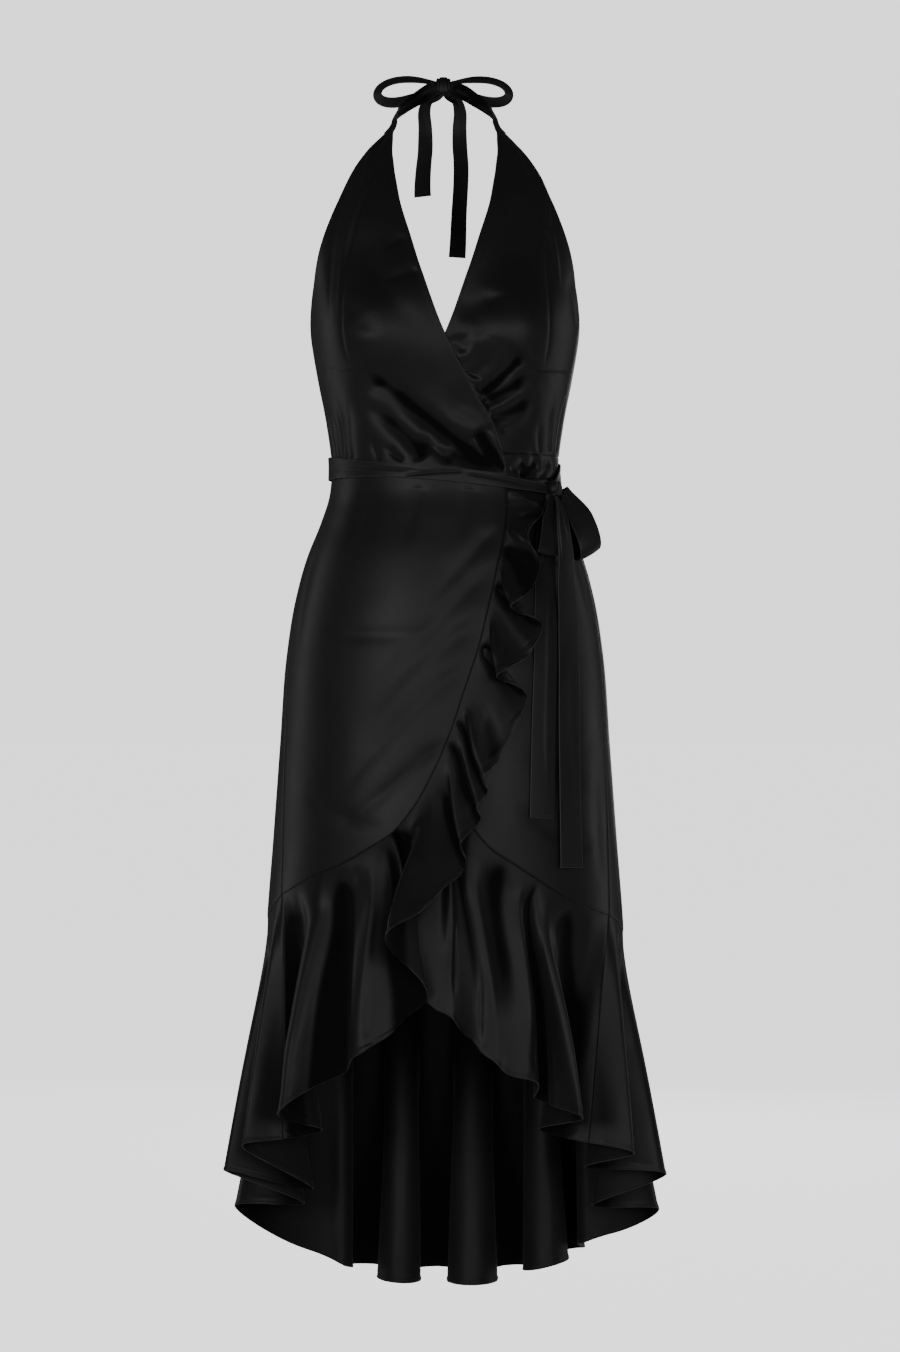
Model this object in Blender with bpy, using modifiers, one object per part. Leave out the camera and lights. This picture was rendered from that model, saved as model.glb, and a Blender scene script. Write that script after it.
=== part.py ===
"""A satin halter wrap dress with a cascading flounce, filled out as worn with nobody in it.

Metres, +Z up, the front faces -Y and +X is the wearer's left. The origin is the nape of the
neck, where the halter is tied. Heights are given as drops below the nape, and depths as
distances forward of the upright axis of the body.

Every panel is a grid of points on the body form, at a named distance out from it, and gets its
wall from Solidify. The flounces are ruled from the skirt's edge to a hem that goes through one
row of a table for each fold.
"""

import math

import bmesh
import bpy
import numpy as np
from mathutils import Matrix, Vector

WALL = 0.0016  # the cloth with its seam allowances
FLOUNCE_WALL = 0.0012  # a single layer with a rolled hem
SEAM_GAP = 0.0006  # between the edges of two pieces that are sewn together
BODY_AXIS_Y = -0.062  # the body's upright axis, in front of the nape

# How far out from the body form the middle of each layer of cloth lies.
UNDER_OUT = 0.0020
OVER_OUT = 0.0062

UNDERARM = 0.320
WAIST_TOP = 0.4355
WAIST_BOTTOM = 0.4625
SIDE_ANGLE = 88.0  # side seams of bodice and band, from the front centre
WRAP_ANGLE = 31.4  # how far past the front centre each front laps at the waist
HALTER_TOP = 0.072  # where a front ends and its neck tie begins
BACK_DIP = 0.030  # how far the back's top edge dips at its centre
CUP_ACROSS = 0.088  # where the bust darts shape the fronts
CUP_DROP = 0.302
CUP_OUT = 0.020
CUP_WIDTH = 0.055
CUP_HEIGHT = 0.060

NECK_TIE_WIDTH = 0.017
LOOP_START = 0.55  # radians round a bow's loop from its root to the knot's side
LOOP_PINCH = 0.45  # how narrow a loop is at the knot, as a share of its width
KNOT_SQUARENESS = 0.45  # 0 is a ball and 1 is a box

FLUTE_ROUNDNESS = 1.6  # of the flounces' flutes, where 1 turns at once and 2 is bulging
FLOUNCE_END = 1 / 9  # the share of a flounce's edge over which it comes to leave it smoothly
HIDDEN_END = 1 / 2.5  # the same at the under flounce's hidden end
CLOSER_ABOVE = 1.4  # how much closer a flounce's rows lie near its seam than at its hem

SATIN_COLOUR = (0.010, 0.010, 0.011, 1.0)
SATIN_ROUGHNESS = 0.38


def table(columns, rows):
    """A dictionary with one array for each named column."""
    return dict(zip(columns.split(), np.array(rows, float).T))


# Level sections of the body form, from the neck to the hem.
BODY = table("drop half_width front back", [
    (-0.020, 0.056, 0.052, 0.056),
    (0.020, 0.058, 0.055, 0.058),
    (0.060, 0.068, 0.056, 0.062),
    (0.095, 0.112, 0.066, 0.080),
    (0.155, 0.150, 0.086, 0.100),
    (0.200, 0.160, 0.096, 0.104),
    (0.250, 0.158, 0.102, 0.104),
    (0.300, 0.150, 0.104, 0.102),
    (0.350, 0.142, 0.100, 0.096),
    (0.400, 0.1325, 0.094, 0.088),
    (0.450, 0.127, 0.090, 0.082),
    (0.480, 0.1295, 0.091, 0.084),
    (0.510, 0.139, 0.096, 0.093),
    (0.550, 0.155, 0.103, 0.108),
    (0.600, 0.1685, 0.109, 0.124),
    (0.660, 0.178, 0.114, 0.135),
    (0.760, 0.1855, 0.120, 0.138),
    (0.870, 0.1935, 0.127, 0.140),
    (0.970, 0.201, 0.134, 0.142),
    (1.060, 0.204, 0.138, 0.142),
])

# The edges of a halter front, as angles from the front centre.
NECKLINE = table("drop angle", [
    (0.066, 46.0), (0.082, 37.0), (0.102, 29.0), (0.126, 23.6), (0.157, 18.9), (0.186, 14.7),
    (0.235, 8.9), (0.299, 0.8), (0.338, -6.1), (0.374, -14.0), (0.400, -21.7), (0.416, -25.4),
    (WAIST_TOP, -29.2), (0.465, -WRAP_ANGLE),
])
ARMHOLE = table("drop angle", [
    (0.066, 61.0), (0.078, 55.5), (0.090, 53.0), (0.110, 52.6), (0.138, 53.0), (0.168, 55.3),
    (0.195, 58.8), (0.225, 62.8), (0.250, 66.0), (0.285, 73.0), (0.305, 79.5), (0.320, 88.0),
])

# The waist seam of the right front, which lies under the middle of the sash.
RIGHT_WAIST = table("angle drop", [
    (-88.0, 0.4490), (-50.0, 0.4520), (-20.0, 0.4560), (0.0, 0.4600), (20.0, 0.4645),
    (WRAP_ANGLE, 0.4680),
])

# The soft folds of the bodice. Each lies along a line between two places, bowed down by bow in
# its middle, and stands out by height, or in by it where that is less than zero.
RIGHT_FOLDS = table("angle drop end_angle end_drop bow half_width height", [
    (-37.3, 0.3411, -16.0, 0.3830, 0.0012, 0.0080, -0.0040),
    (-31.0, 0.3290, 27.0, 0.4430, 0.0012, 0.0100, 0.0050),
    (-39.0, 0.3600, 16.0, 0.4560, 0.0016, 0.0070, 0.0042),
    (-46.0, 0.3960, -10.0, 0.4560, -0.0020, 0.0070, 0.0032),
    (-22.0, 0.4230, 0.0, 0.4600, -0.0020, 0.0055, 0.0028),
    (-10.0, 0.3480, 20.0, 0.4130, 0.0088, 0.0080, 0.0022),
    (15.6, 0.4140, 28.5, 0.4560, 0.0020, 0.0050, 0.0060),
    (20.5, 0.4130, 31.0, 0.4560, -0.0030, 0.0045, 0.0050),
])
LEFT_FOLDS = table("angle drop end_angle end_drop bow half_width height", [
    (34.3, 0.3249, 15.3, 0.3708, -0.0082, 0.0080, -0.0060),
    (37.5, 0.3390, 15.5, 0.3790, -0.0066, 0.0060, 0.0035),
    (39.8, 0.3530, 19.5, 0.3797, 0.0012, 0.0070, -0.0045),
    (44.1, 0.3688, 25.2, 0.3977, -0.0046, 0.0080, -0.0040),
    (23.1, 0.3130, 11.1, 0.3545, -0.0008, 0.0100, -0.0030),
    (40.6, 0.4614, 54.5, 0.4454, -0.0031, 0.0060, -0.0030),
])
FOLD_RADIUS = 0.115  # turns angles into lengths round the bodice

# The edges that the flounces are sewn to, from the wrap's end of each to its side seam.
OVER_EDGE = table("angle drop", [
    (WRAP_ANGLE, 0.4790), (30.6, 0.490), (28.5, 0.510), (22.4, 0.552), (17.0, 0.600), (11.7, 0.655),
    (7.1, 0.696), (1.8, 0.747), (-3.4, 0.787), (-9.4, 0.825), (-17.5, 0.857), (-26.0, 0.876),
    (-35.0, 0.892), (-44.0, 0.903), (-54.0, 0.917), (-66.0, 0.930),
])
UNDER_EDGE = table("angle drop", [
    (-1.8, 0.770), (3.4, 0.810), (8.3, 0.847), (15.1, 0.875), (22.8, 0.892), (30.1, 0.907),
    (40.1, 0.926), (47.6, 0.937), (57.0, 0.947), (66.0, 0.953),
])
UNDER_FREE_EDGE = table("angle drop", [
    (-WRAP_ANGLE, 0.4629), (-30.0, 0.520), (-25.0, 0.565), (-17.0, 0.625), (-9.3, 0.700),
    (-1.8, 0.770),
])
BACK_EDGE = table("angle drop", [
    (66.0, 0.953), (80.0, 0.966), (100.0, 0.985), (140.0, 1.018), (180.0, 1.032),
    (220.0, 1.012), (260.0, 0.972), (280.0, 0.949), (294.0, 0.930),
])

# The hems of the flounces, a row for each ridge, valley or turn of a fold. The share is how
# far along the edge above it the fold starts.
OVER_FOLDS = table("share across forward drop", [
    (0.000, 0.078, 0.083, 0.4800),
    (0.022, 0.096, 0.078, 0.488),
    (0.036, 0.110, 0.079, 0.500),
    (0.055, 0.098, 0.092, 0.516),
    (0.075, 0.093, 0.108, 0.534),
    (0.100, 0.105, 0.112, 0.560),
    (0.130, 0.092, 0.118, 0.592),
    (0.155, 0.073, 0.129, 0.607),
    (0.172, 0.086, 0.114, 0.616),
    (0.192, 0.106, 0.101, 0.625),
    (0.216, 0.100, 0.114, 0.649),
    (0.235, 0.085, 0.122, 0.668),
    (0.262, 0.058, 0.138, 0.683),
    (0.287, 0.071, 0.123, 0.692),
    (0.312, 0.089, 0.110, 0.703),
    (0.345, 0.082, 0.121, 0.730),
    (0.405, 0.056, 0.136, 0.781),
    (0.438, 0.042, 0.144, 0.797),
    (0.461, 0.047, 0.132, 0.811),
    (0.484, 0.036, 0.141, 0.827),
    (0.508, 0.038, 0.134, 0.844),
    (0.538, 0.018, 0.150, 0.867),
    (0.568, 0.023, 0.143, 0.890),
    (0.600, 0.006, 0.160, 0.910),
    (0.632, -0.034, 0.188, 0.944),
    (0.658, -0.063, 0.204, 0.963),
    (0.680, -0.046, 0.180, 0.994),
    (0.703, -0.019, 0.162, 1.028),
    (0.724, -0.036, 0.152, 1.052),
    (0.752, -0.070, 0.160, 1.082),
    (0.787, -0.097, 0.163, 1.098),
    (0.842, -0.122, 0.146, 1.124),
    (0.920, -0.183, 0.160, 1.161),
    (0.965, -0.137, 0.078, 1.190),
    (1.000, -0.180, 0.089, 1.199),
])
UNDER_FOLDS = table("share across forward drop", [
    (0.00, -0.045, 0.141, 0.985),
    (0.10, -0.018, 0.148, 1.042),
    (0.19, 0.002, 0.150, 1.054),
    (0.27, 0.024, 0.147, 1.078),
    (0.37, 0.048, 0.156, 1.101),
    (0.48, 0.074, 0.155, 1.121),
    (0.57, 0.100, 0.150, 1.128),
    (0.62, 0.106, 0.135, 1.150),
    (0.66, 0.122, 0.148, 1.156),
    (0.72, 0.150, 0.163, 1.167),
    (0.86, 0.105, 0.078, 1.190),
    (1.00, 0.160, 0.089, 1.203),
])
BACK_FOLDS = table("share across forward drop", [
    (0.000, 0.160, 0.089, 1.203),
    (0.028, 0.210, 0.100, 1.214),
    (0.060, 0.158, 0.043, 1.238),
    (0.100, 0.250, 0.032, 1.247),
    (0.140, 0.168, -0.013, 1.290),
    (0.185, 0.246, -0.045, 1.299),
    (0.232, 0.196, -0.072, 1.332),
    (0.258, 0.157, -0.082, 1.346),
    (0.278, 0.164, -0.145, 1.362),
    (0.302, 0.136, -0.150, 1.368),
    (0.322, 0.141, -0.080, 1.366),
    (0.352, 0.094, -0.080, 1.377),
    (0.376, 0.099, -0.170, 1.388),
    (0.410, 0.057, -0.172, 1.392),
    (0.432, 0.057, -0.080, 1.391),
    (0.468, 0.005, -0.080, 1.391),
    (0.490, 0.014, -0.175, 1.393),
    (0.526, -0.038, -0.175, 1.393),
    (0.546, -0.031, -0.080, 1.390),
    (0.580, -0.077, -0.080, 1.387),
    (0.602, -0.070, -0.170, 1.389),
    (0.636, -0.118, -0.165, 1.386),
    (0.658, -0.111, -0.080, 1.373),
    (0.702, -0.161, -0.078, 1.352),
    (0.800, -0.243, -0.050, 1.297),
    (0.855, -0.160, -0.008, 1.287),
    (0.895, -0.250, 0.035, 1.242),
    (0.935, -0.149, 0.030, 1.265),
    (0.970, -0.223, 0.100, 1.208),
    (1.000, -0.180, 0.089, 1.199),
])

# The sash goes from the knot across the front, round the back and to the knot again.
SASH = table("angle drop width out", [
    (56.4, 0.4745, 0.010, 0.0100),
    (40.0, 0.4705, 0.012, 0.0092),
    (20.0, 0.4645, 0.015, 0.0092),
    (0.0, 0.4600, 0.015, 0.0092),
    (-20.0, 0.4560, 0.015, 0.0092),
    (-50.0, 0.4520, 0.019, 0.0080),
    (-75.0, 0.4492, 0.025, 0.0058),
    (-100.0, 0.4490, 0.026, 0.0046),
    (-180.0, 0.4500, 0.027, 0.0046),
    (-255.0, 0.4515, 0.024, 0.0046),
    (-275.0, 0.4560, 0.019, 0.0046),
    (-295.4, 0.4710, 0.012, 0.0100),
])
KNOT_ANGLE = 60.5
KNOT_DROP = 0.4745
KNOT_OUT = 0.0145
KNOT_SIZE = (0.0185, 0.0140, 0.0190)  # round the waist, out, up

# The hanging ends of the sash, as bands that lie on the skirt. The long one hangs over the loops.
LONG_TAIL = table("angle drop width out", [
    (60.0, 0.4848, 0.013, 0.0186), (52.0, 0.513, 0.018, 0.0320), (50.0, 0.545, 0.022, 0.0280),
    (50.0, 0.576, 0.025, 0.0180), (50.2, 0.623, 0.028, 0.0085), (48.5, 0.680, 0.029, 0.0069),
    (46.8, 0.760, 0.029, 0.0068), (45.4, 0.840, 0.029, 0.0068), (44.6, 0.897, 0.030, 0.0070),
])
SHORT_TAIL = table("angle drop width out", [
    (60.0, 0.4840, 0.012, 0.0090), (53.5, 0.512, 0.018, 0.0050), (45.0, 0.555, 0.026, 0.0045),
    (40.5, 0.610, 0.029, 0.0044), (37.5, 0.680, 0.029, 0.0044), (35.3, 0.760, 0.029, 0.0044),
    (33.6, 0.842, 0.030, 0.0046),
])

# The loops of the sash's bow: where each leaves the knot and where it turns, as angle, drop and
# out, how its strands part, and the ribbon's width as a way and a length.
RIGHT_WAIST_LOOP = (
    (58.8, 0.4840, 0.0132),
    (43.0, 0.5480, 0.0170),
    (0.0030, -0.0050, 0.0),
    (0.0240, 0.0150, -0.0035),
)
LEFT_WAIST_LOOP = (
    (67.1, 0.4780, 0.0182),
    (66.0, 0.5476, 0.0250),
    (0.0080, -0.0100, 0.0040),
    (0.0236, 0.0120, 0.0141),
)

# The neck tie's middle line, from the front's top round to the nape, where the two ties end at
# the knot, which lies a little to the wearer's right.
NECK_TIE = table("angle drop out", [
    (50.0, 0.0712, 0.0020), (51.6, 0.0665, 0.0020), (55.0, 0.0602, 0.0020),
    (61.0, 0.0570, 0.0020), (74.0, 0.0550, 0.0022), (95.0, 0.0490, 0.0022),
    (122.0, 0.0345, 0.0022), (143.0, 0.0200, 0.0024), (160.0, 0.0085, 0.0026),
    (170.0, 0.0020, 0.0030),
])
NAPE_ANGLES = (-165.6, 171.0)  # where the right tie and the left one end
NECK_KNOT_SIZE = (0.0185, 0.0135, 0.0212)
NECK_KNOT_PLACE = (-0.0020, 0.0010, 0.0)

# The left loop of the halter's bow. The right one is the same turned over.
NECK_LOOP_ROOT = (0.0085, 0.0045, 0.0010)
NECK_LOOP_REACH = (0.0680, 0.0040, -0.0090)
NECK_LOOP_RISE = (0.0, 0.0, 0.0165)
NECK_LOOP_BREADTH = (0.0, -0.0120, 0.0)
NECK_LOOP_FLARE = 0.0085

# The ends of the halter's bow, down the wearer's back.
RIGHT_NECK_TAIL = table("angle drop width out", [
    (187.0, 0.0122, 0.0080, 0.0070), (197.0, 0.0170, 0.0115, 0.0068),
    (202.0, 0.0285, 0.0150, 0.0045), (200.7, 0.0504, 0.0168, 0.0030),
    (195.0, 0.0767, 0.0175, 0.0030), (191.0, 0.1240, 0.0198, 0.0030),
])
LEFT_NECK_TAIL = table("angle drop width out", [
    (177.0, 0.0119, 0.0080, 0.0070), (169.0, 0.0165, 0.0115, 0.0068),
    (164.3, 0.0290, 0.0150, 0.0045), (165.0, 0.0500, 0.0168, 0.0030),
    (168.7, 0.0767, 0.0175, 0.0030), (173.0, 0.1300, 0.0178, 0.0030),
    (175.0, 0.1935, 0.0200, 0.0030),
])

FRONT_ROWS = (12, 15)  # from the top to the underarm, and on to the waist
FRONT_COLUMNS = 20


def smooth(x):
    """Goes from 0 to 1 as x does, level at both ends."""
    x = np.clip(x, 0.0, 1.0)
    return x * x * (3 - 2 * x)


def through(knots, values, at, roundness=1.0):
    """A smooth curve through values at knots, read at the given places. It passes each knot at
    its mean slope there times the roundness."""
    slopes = np.gradient(values, knots, axis=0) * roundness
    i = np.clip(np.searchsorted(knots, at, side="right") - 1, 0, len(knots) - 2)
    step = knots[i + 1] - knots[i]
    t = (at - knots[i]) / step
    if np.ndim(values) > 1:
        step = step[..., None]
        t = t[..., None]
    start = (1 + 2 * t) * (1 - t) ** 2 * values[i] + t * (1 - t) ** 2 * step * slopes[i]
    end = t * t * (3 - 2 * t) * values[i + 1] + t * t * (t - 1) * step * slopes[i + 1]
    return start + end


def body(angle, drop, out):
    """Points on the body form: an ellipse at each level, with the cups' fullness in front.

    The angle is in degrees from the front centre towards +X, and out is the level distance
    from the form.
    """
    angle, drop, out = np.broadcast_arrays(np.radians(angle), drop, out)
    half_width, front, back = (
        through(BODY["drop"], BODY[name], np.minimum(drop, BODY["drop"][-1]))
        for name in ("half_width", "front", "back")
    )
    sin, cos = np.sin(angle), np.cos(angle)
    depth = np.where(cos > 0, front, back)
    across, forward = half_width * sin, depth * cos
    steep = np.hypot(sin / half_width, cos / depth)
    cups = np.exp(
        -(((np.abs(across) - CUP_ACROSS) / CUP_WIDTH) ** 2)
        - ((drop - CUP_DROP) / CUP_HEIGHT) ** 2
    )
    out = out + CUP_OUT * cups * smooth(cos / 0.4)
    return np.stack([
        across + out * sin / half_width / steep,
        BODY_AXIS_Y - forward - out * cos / depth / steep,
        -drop,
    ], axis=-1)


def over_out(angle, drop):
    """The right front and its skirt lie on the left ones, and meet the back at the side."""
    lapped = smooth((angle + 74) / 34) * smooth((drop - 0.14) / 0.12)
    return UNDER_OUT + (OVER_OUT - UNDER_OUT) * lapped


def under_out(angle, drop):
    return UNDER_OUT + 0 * angle


def shares_of(points):
    """How far along a polyline each of its points lies, as a share of its length."""
    length = np.cumsum(np.linalg.norm(np.diff(points, axis=0), axis=1))
    return np.concatenate([[0], length / length[-1]])


def along(line, shares, names=("angle", "drop")):
    """Columns of a table for a line on the body, read at shares of the line's length."""
    knots = shares_of(body(line["angle"], line["drop"], UNDER_OUT))
    return np.stack([through(knots, line[name], shares) for name in names], axis=-1)


def folded(angle, drop, folds):
    """How far folds move the cloth out. Each is a bell across its line, and fades at its ends."""
    height = 0 * angle
    place = np.stack([np.radians(angle) * FOLD_RADIUS, drop], axis=-1)
    for row in np.stack(list(folds.values()), axis=-1):
        start, end = row[:4].reshape(2, 2) * (math.radians(FOLD_RADIUS), 1)
        bow, half_width, most = row[4:]
        run = (end - start) / np.linalg.norm(end - start)
        share = (place - start) @ run / np.linalg.norm(end - start)
        aside = (place - start) @ (-run[1], run[0]) - bow * 4 * share * (1 - share)
        fade = smooth(4 * share) * smooth(5 * (1 - share))
        height = height + most * fade * np.exp(-((aside / half_width) ** 2))
    return height


def right_front_out(angle, drop):
    """The folds end where the sash holds them down."""
    sash_top = np.interp(angle, RIGHT_WAIST["angle"], RIGHT_WAIST["drop"]) - 0.006
    held = smooth((sash_top - drop) / 0.009)
    return over_out(angle, drop) + held * folded(angle, drop, RIGHT_FOLDS)


def left_front_out(angle, drop):
    return under_out(angle, drop) + folded(angle, drop, LEFT_FOLDS)


def straight(start, end, count):
    return np.linspace(start, end, count + 1)


def patch(top, bottom, left, right):
    """Fills four edges: the sum of both blends between facing edges, less that of the corners."""
    u = np.linspace(0, 1, len(top))[None, :, None]
    v = np.linspace(0, 1, len(left))[:, None, None]
    level = (1 - v) * top[None] + v * bottom[None]
    upright = (1 - u) * left[:, None] + u * right[:, None]
    corners = (1 - v) * ((1 - u) * top[0] + u * top[-1]) + v * (
        (1 - u) * bottom[0] + u * bottom[-1]
    )
    return level + upright - corners


def on_body(grid, out_rule):
    return body(grid[..., 0], grid[..., 1], out_rule(grid[..., 0], grid[..., 1]))


def front_bodice(side, waist, out_rule, rows=FRONT_ROWS, columns=FRONT_COLUMNS):
    """Level rows from the neckline and wrap edge to the armhole and side seam.

    The side is -1 for the wearer's right front and 1 for the left one. Below the underarm the
    rows come to follow the waist, a table of angles and drops.
    """
    end = waist["drop"][-1]
    drop = np.concatenate([
        np.linspace(HALTER_TOP, UNDERARM, rows[0] + 1),
        np.linspace(UNDERARM, end, rows[1] + 1)[1:],
    ])
    inner = through(NECKLINE["drop"], NECKLINE["angle"], drop)
    outer = np.where(
        drop < UNDERARM,
        through(ARMHOLE["drop"], ARMHOLE["angle"], np.minimum(drop, UNDERARM)),
        SIDE_ANGLE,
    )
    share = np.linspace(0, 1, columns + 1)
    angle = side * (outer[:, None] + (inner - outer)[:, None] * share)
    below = np.maximum(drop - UNDERARM, 0)[:, None] / (end - UNDERARM)
    drop = drop[:, None] + below * (np.interp(angle, waist["angle"], waist["drop"]) - end)
    return on_body(np.stack([angle, drop], axis=-1), out_rule)


def back_bodice(rows=6, columns=24):
    """From side seam to side seam, with its top edge dipping towards the centre back."""
    angle = np.linspace(SIDE_ANGLE, 360 - SIDE_ANGLE, columns + 1)
    top = UNDERARM + BACK_DIP * smooth((90 - np.abs(angle - 180)) / 70)
    share = np.linspace(0, 1, rows + 1)[:, None]
    drop = top + (WAIST_TOP - top) * share
    return on_body(np.stack([angle + 0 * drop, drop], axis=-1), under_out)


def waistband(start, end, out_rule, columns):
    angle = np.linspace(start, end, columns + 1)
    drop = np.linspace(WAIST_TOP, WAIST_BOTTOM, 3)[:, None]
    return on_body(np.stack([angle + 0 * drop, drop + 0 * angle], axis=-1), out_rule)


def over_skirt(rows=20, columns=12, corner=0.71):
    """The right skirt front: its curved edge is split at a share of its length into the wrap
    edge on the right and the lower edge."""
    top = np.stack([RIGHT_WAIST["angle"], RIGHT_WAIST["drop"]], axis=-1)
    top = through(RIGHT_WAIST["angle"], top, np.linspace(-SIDE_ANGLE, WRAP_ANGLE, columns + 1))
    wrap = np.concatenate([top[-1:], along(OVER_EDGE, np.linspace(0, corner, rows))])
    lower = along(OVER_EDGE, np.linspace(1, corner, columns + 1))
    side = straight(top[0], lower[0], rows)
    return on_body(patch(top, lower, side, wrap), over_out)


def under_skirt(rows=16, columns=16):
    """The left skirt front, with its free edge hidden beneath the right one."""
    top = straight((-WRAP_ANGLE, WAIST_BOTTOM), (SIDE_ANGLE, WAIST_BOTTOM), columns)
    lower = along(UNDER_EDGE, np.linspace(0, 1, columns + 1))
    free = along(UNDER_FREE_EDGE, np.linspace(0, 1, rows + 1))
    side = straight(top[-1], lower[-1], rows)
    return on_body(patch(top, lower, free, side), under_out)


def back_skirt(rows=12, columns=22):
    top = straight((SIDE_ANGLE, WAIST_BOTTOM), (360 - SIDE_ANGLE, WAIST_BOTTOM), columns)
    lower = along(BACK_EDGE, np.linspace(0, 1, columns + 1))
    return on_body(
        patch(top, lower, straight(top[0], lower[0], rows), straight(top[-1], lower[-1], rows)),
        under_out,
    )


def edge_and_away(grid, sides):
    """The points of some sides of a grid in one run, and at each the way out of the panel."""
    normals = np.cross(np.gradient(grid, axis=1), np.gradient(grid, axis=0))
    points = np.concatenate([grid[side] for side in sides])
    normals = np.concatenate([normals[side] for side in sides])
    away = np.cross(np.gradient(points, axis=0), normals)
    away /= np.linalg.norm(away, axis=1, keepdims=True)
    inside = grid[grid.shape[0] // 2, grid.shape[1] // 2]
    if ((points - inside) * away).sum() < 0:
        away = -away
    return points, away


def flounce(edge, away, folds, steps, rows, first=FLOUNCE_END):
    """From a skirt's edge to the hem through its folds.

    There are some steps from each fold to the next. The edge is the polyline of the skirt's own
    points, so both pieces meet all along it. With d down a column from 0 to 1, the cloth lies
    at top + fall d + (start - fall) d (1 - d)^4, so it leaves the edge the way that the skirt's
    surface points. It comes to do so over the first share of the edge.
    """
    marks = np.arange(len(folds["share"]), dtype=float)
    at = np.linspace(0, marks[-1], int(marks[-1]) * steps + 1)
    share = np.interp(at, marks, folds["share"])
    across = through(marks, folds["across"], at, FLUTE_ROUNDNESS)
    forward = through(marks, folds["forward"], at, FLUTE_ROUNDNESS)
    hem = np.stack([across, BODY_AXIS_Y - forward, -through(marks, folds["drop"], at)], axis=-1)
    knots = shares_of(edge)
    top, start = (
        np.stack([np.interp(share, knots, values[:, axis]) for axis in range(3)], axis=-1)
        for values in (edge, away)
    )
    fall = hem - top
    start = start * np.linalg.norm(fall, axis=1, keepdims=True)
    start = (start - fall) * (smooth(share / first) * smooth((1 - share) / FLOUNCE_END))[:, None]
    down = np.linspace(0, 1, rows + 1)[:, None, None] ** CLOSER_ABOVE
    return top + fall * down + start * down * (1 - down) ** 4


def band_on_body(line, width, count, columns=2):
    """A band along a line given by a table of angle, drop and out, and bent round the body.

    Where width is None, the table has it too.
    """
    at = np.linspace(0, 1, count + 1)
    angle, drop, out = along(line, at, ("angle", "drop", "out")).T
    middle = body(angle, drop, out)
    outward = body(angle, drop, out + 0.01) - middle
    a_degree = body(angle + 0.5, drop, out) - body(angle - 0.5, drop, out)
    sideways = np.cross(np.gradient(middle, axis=0), outward)
    sideways /= np.linalg.norm(sideways, axis=1, keepdims=True)
    if width is None:
        width = along(line, at, ("width",))
    across = width * np.linspace(-0.5, 0.5, columns + 1)
    turn = (sideways * a_degree).sum(1) / (a_degree * a_degree).sum(1)
    return body(
        angle[:, None] + turn[:, None] * across,
        drop[:, None] - sideways[:, 2:] * across,
        out[:, None],
    )


def loop_band(root, reach, rise, breadth, flare=0.0, count=22):
    """A ribbon loop: its middle line leaves the knot, turns at the end of reach and comes back.

    With s round the loop, it lies at reach (1 - cos s) / 2 + rise sin s sin(s / 2). The
    ribbon's width lies along breadth and, by flare, along the loop's own way out, so that one
    edge of it goes round a larger loop than the other. It is pinched towards the knot.
    """
    s = np.linspace(LOOP_START, 2 * math.pi - LOOP_START, count + 1)[:, None, None]
    share = np.linspace(-0.5, 0.5, 3)[None, :, None]
    width = LOOP_PINCH + (1 - LOOP_PINCH) * smooth((1 - np.cos(s)) / 1.1)
    begun = (1 - math.cos(LOOP_START)) / 2
    middle = (
        np.array(root)
        + np.array(reach) * ((1 - np.cos(s)) / 2 - begun) / (1 - begun)
        + np.array(rise) * np.sin(s) * np.sin(s / 2)
    )
    outward = np.cross(np.cross(rise, reach), np.gradient(middle, axis=0))
    outward /= np.linalg.norm(outward, axis=-1, keepdims=True)
    return middle + (np.array(breadth) + outward * flare) * width * share


def pulled_in(points):
    """The grid with its four edges drawn in by half a seam gap."""
    points = points.copy()
    for axis in (0, 1):
        turned = np.moveaxis(points, axis, 0)
        for edge, inner in ((0, 1), (-1, -2)):
            inward = turned[inner] - turned[edge]
            inward /= np.linalg.norm(inward, axis=-1, keepdims=True)
            turned[edge] += inward * SEAM_GAP / 2
    return points


def satin(name):
    material = bpy.data.materials.new(name)
    material.use_nodes = True
    shader = material.node_tree.nodes["Principled BSDF"]
    shader.inputs["Base Color"].default_value = SATIN_COLOUR
    shader.inputs["Roughness"].default_value = SATIN_ROUGHNESS
    shader.inputs["Metallic"].default_value = 0.0
    material.diffuse_color = SATIN_COLOUR
    return material


def grid_triangles(points):
    """Two triangles in each cell of a grid of points, split along its shorter diagonal."""
    index = np.arange(points.shape[0] * points.shape[1]).reshape(points.shape[:2])
    a, b, c, d = (
        index[rows, columns].ravel()
        for rows, columns in (
            (slice(None, -1), slice(None, -1)),
            (slice(1, None), slice(None, -1)),
            (slice(1, None), slice(1, None)),
            (slice(None, -1), slice(1, None)),
        )
    )
    flat = points.reshape(-1, 3)
    a_to_c = np.linalg.norm(flat[a] - flat[c], axis=1) < np.linalg.norm(flat[b] - flat[d], axis=1)
    first = np.stack([a, b, np.where(a_to_c, c, d)], axis=-1)
    second = np.stack([np.where(a_to_c, a, b), c, d], axis=-1)
    return np.concatenate([first, second])


def cloth(collection, name, points, thickness=WALL):
    """A wall of cloth on a grid of points, which lie in its middle."""
    points = pulled_in(points)
    faces = grid_triangles(points)
    mesh = bpy.data.meshes.new(name)
    mesh.from_pydata(points.reshape(-1, 3).tolist(), [], faces.tolist())
    mesh.shade_smooth()
    mesh.materials.append(satin(name + "_satin"))
    piece = bpy.data.objects.new(name, mesh)
    collection.objects.link(piece)
    wall = piece.modifiers.new("wall", "SOLIDIFY")
    wall.thickness = thickness
    wall.offset = 0.0
    return piece


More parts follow.
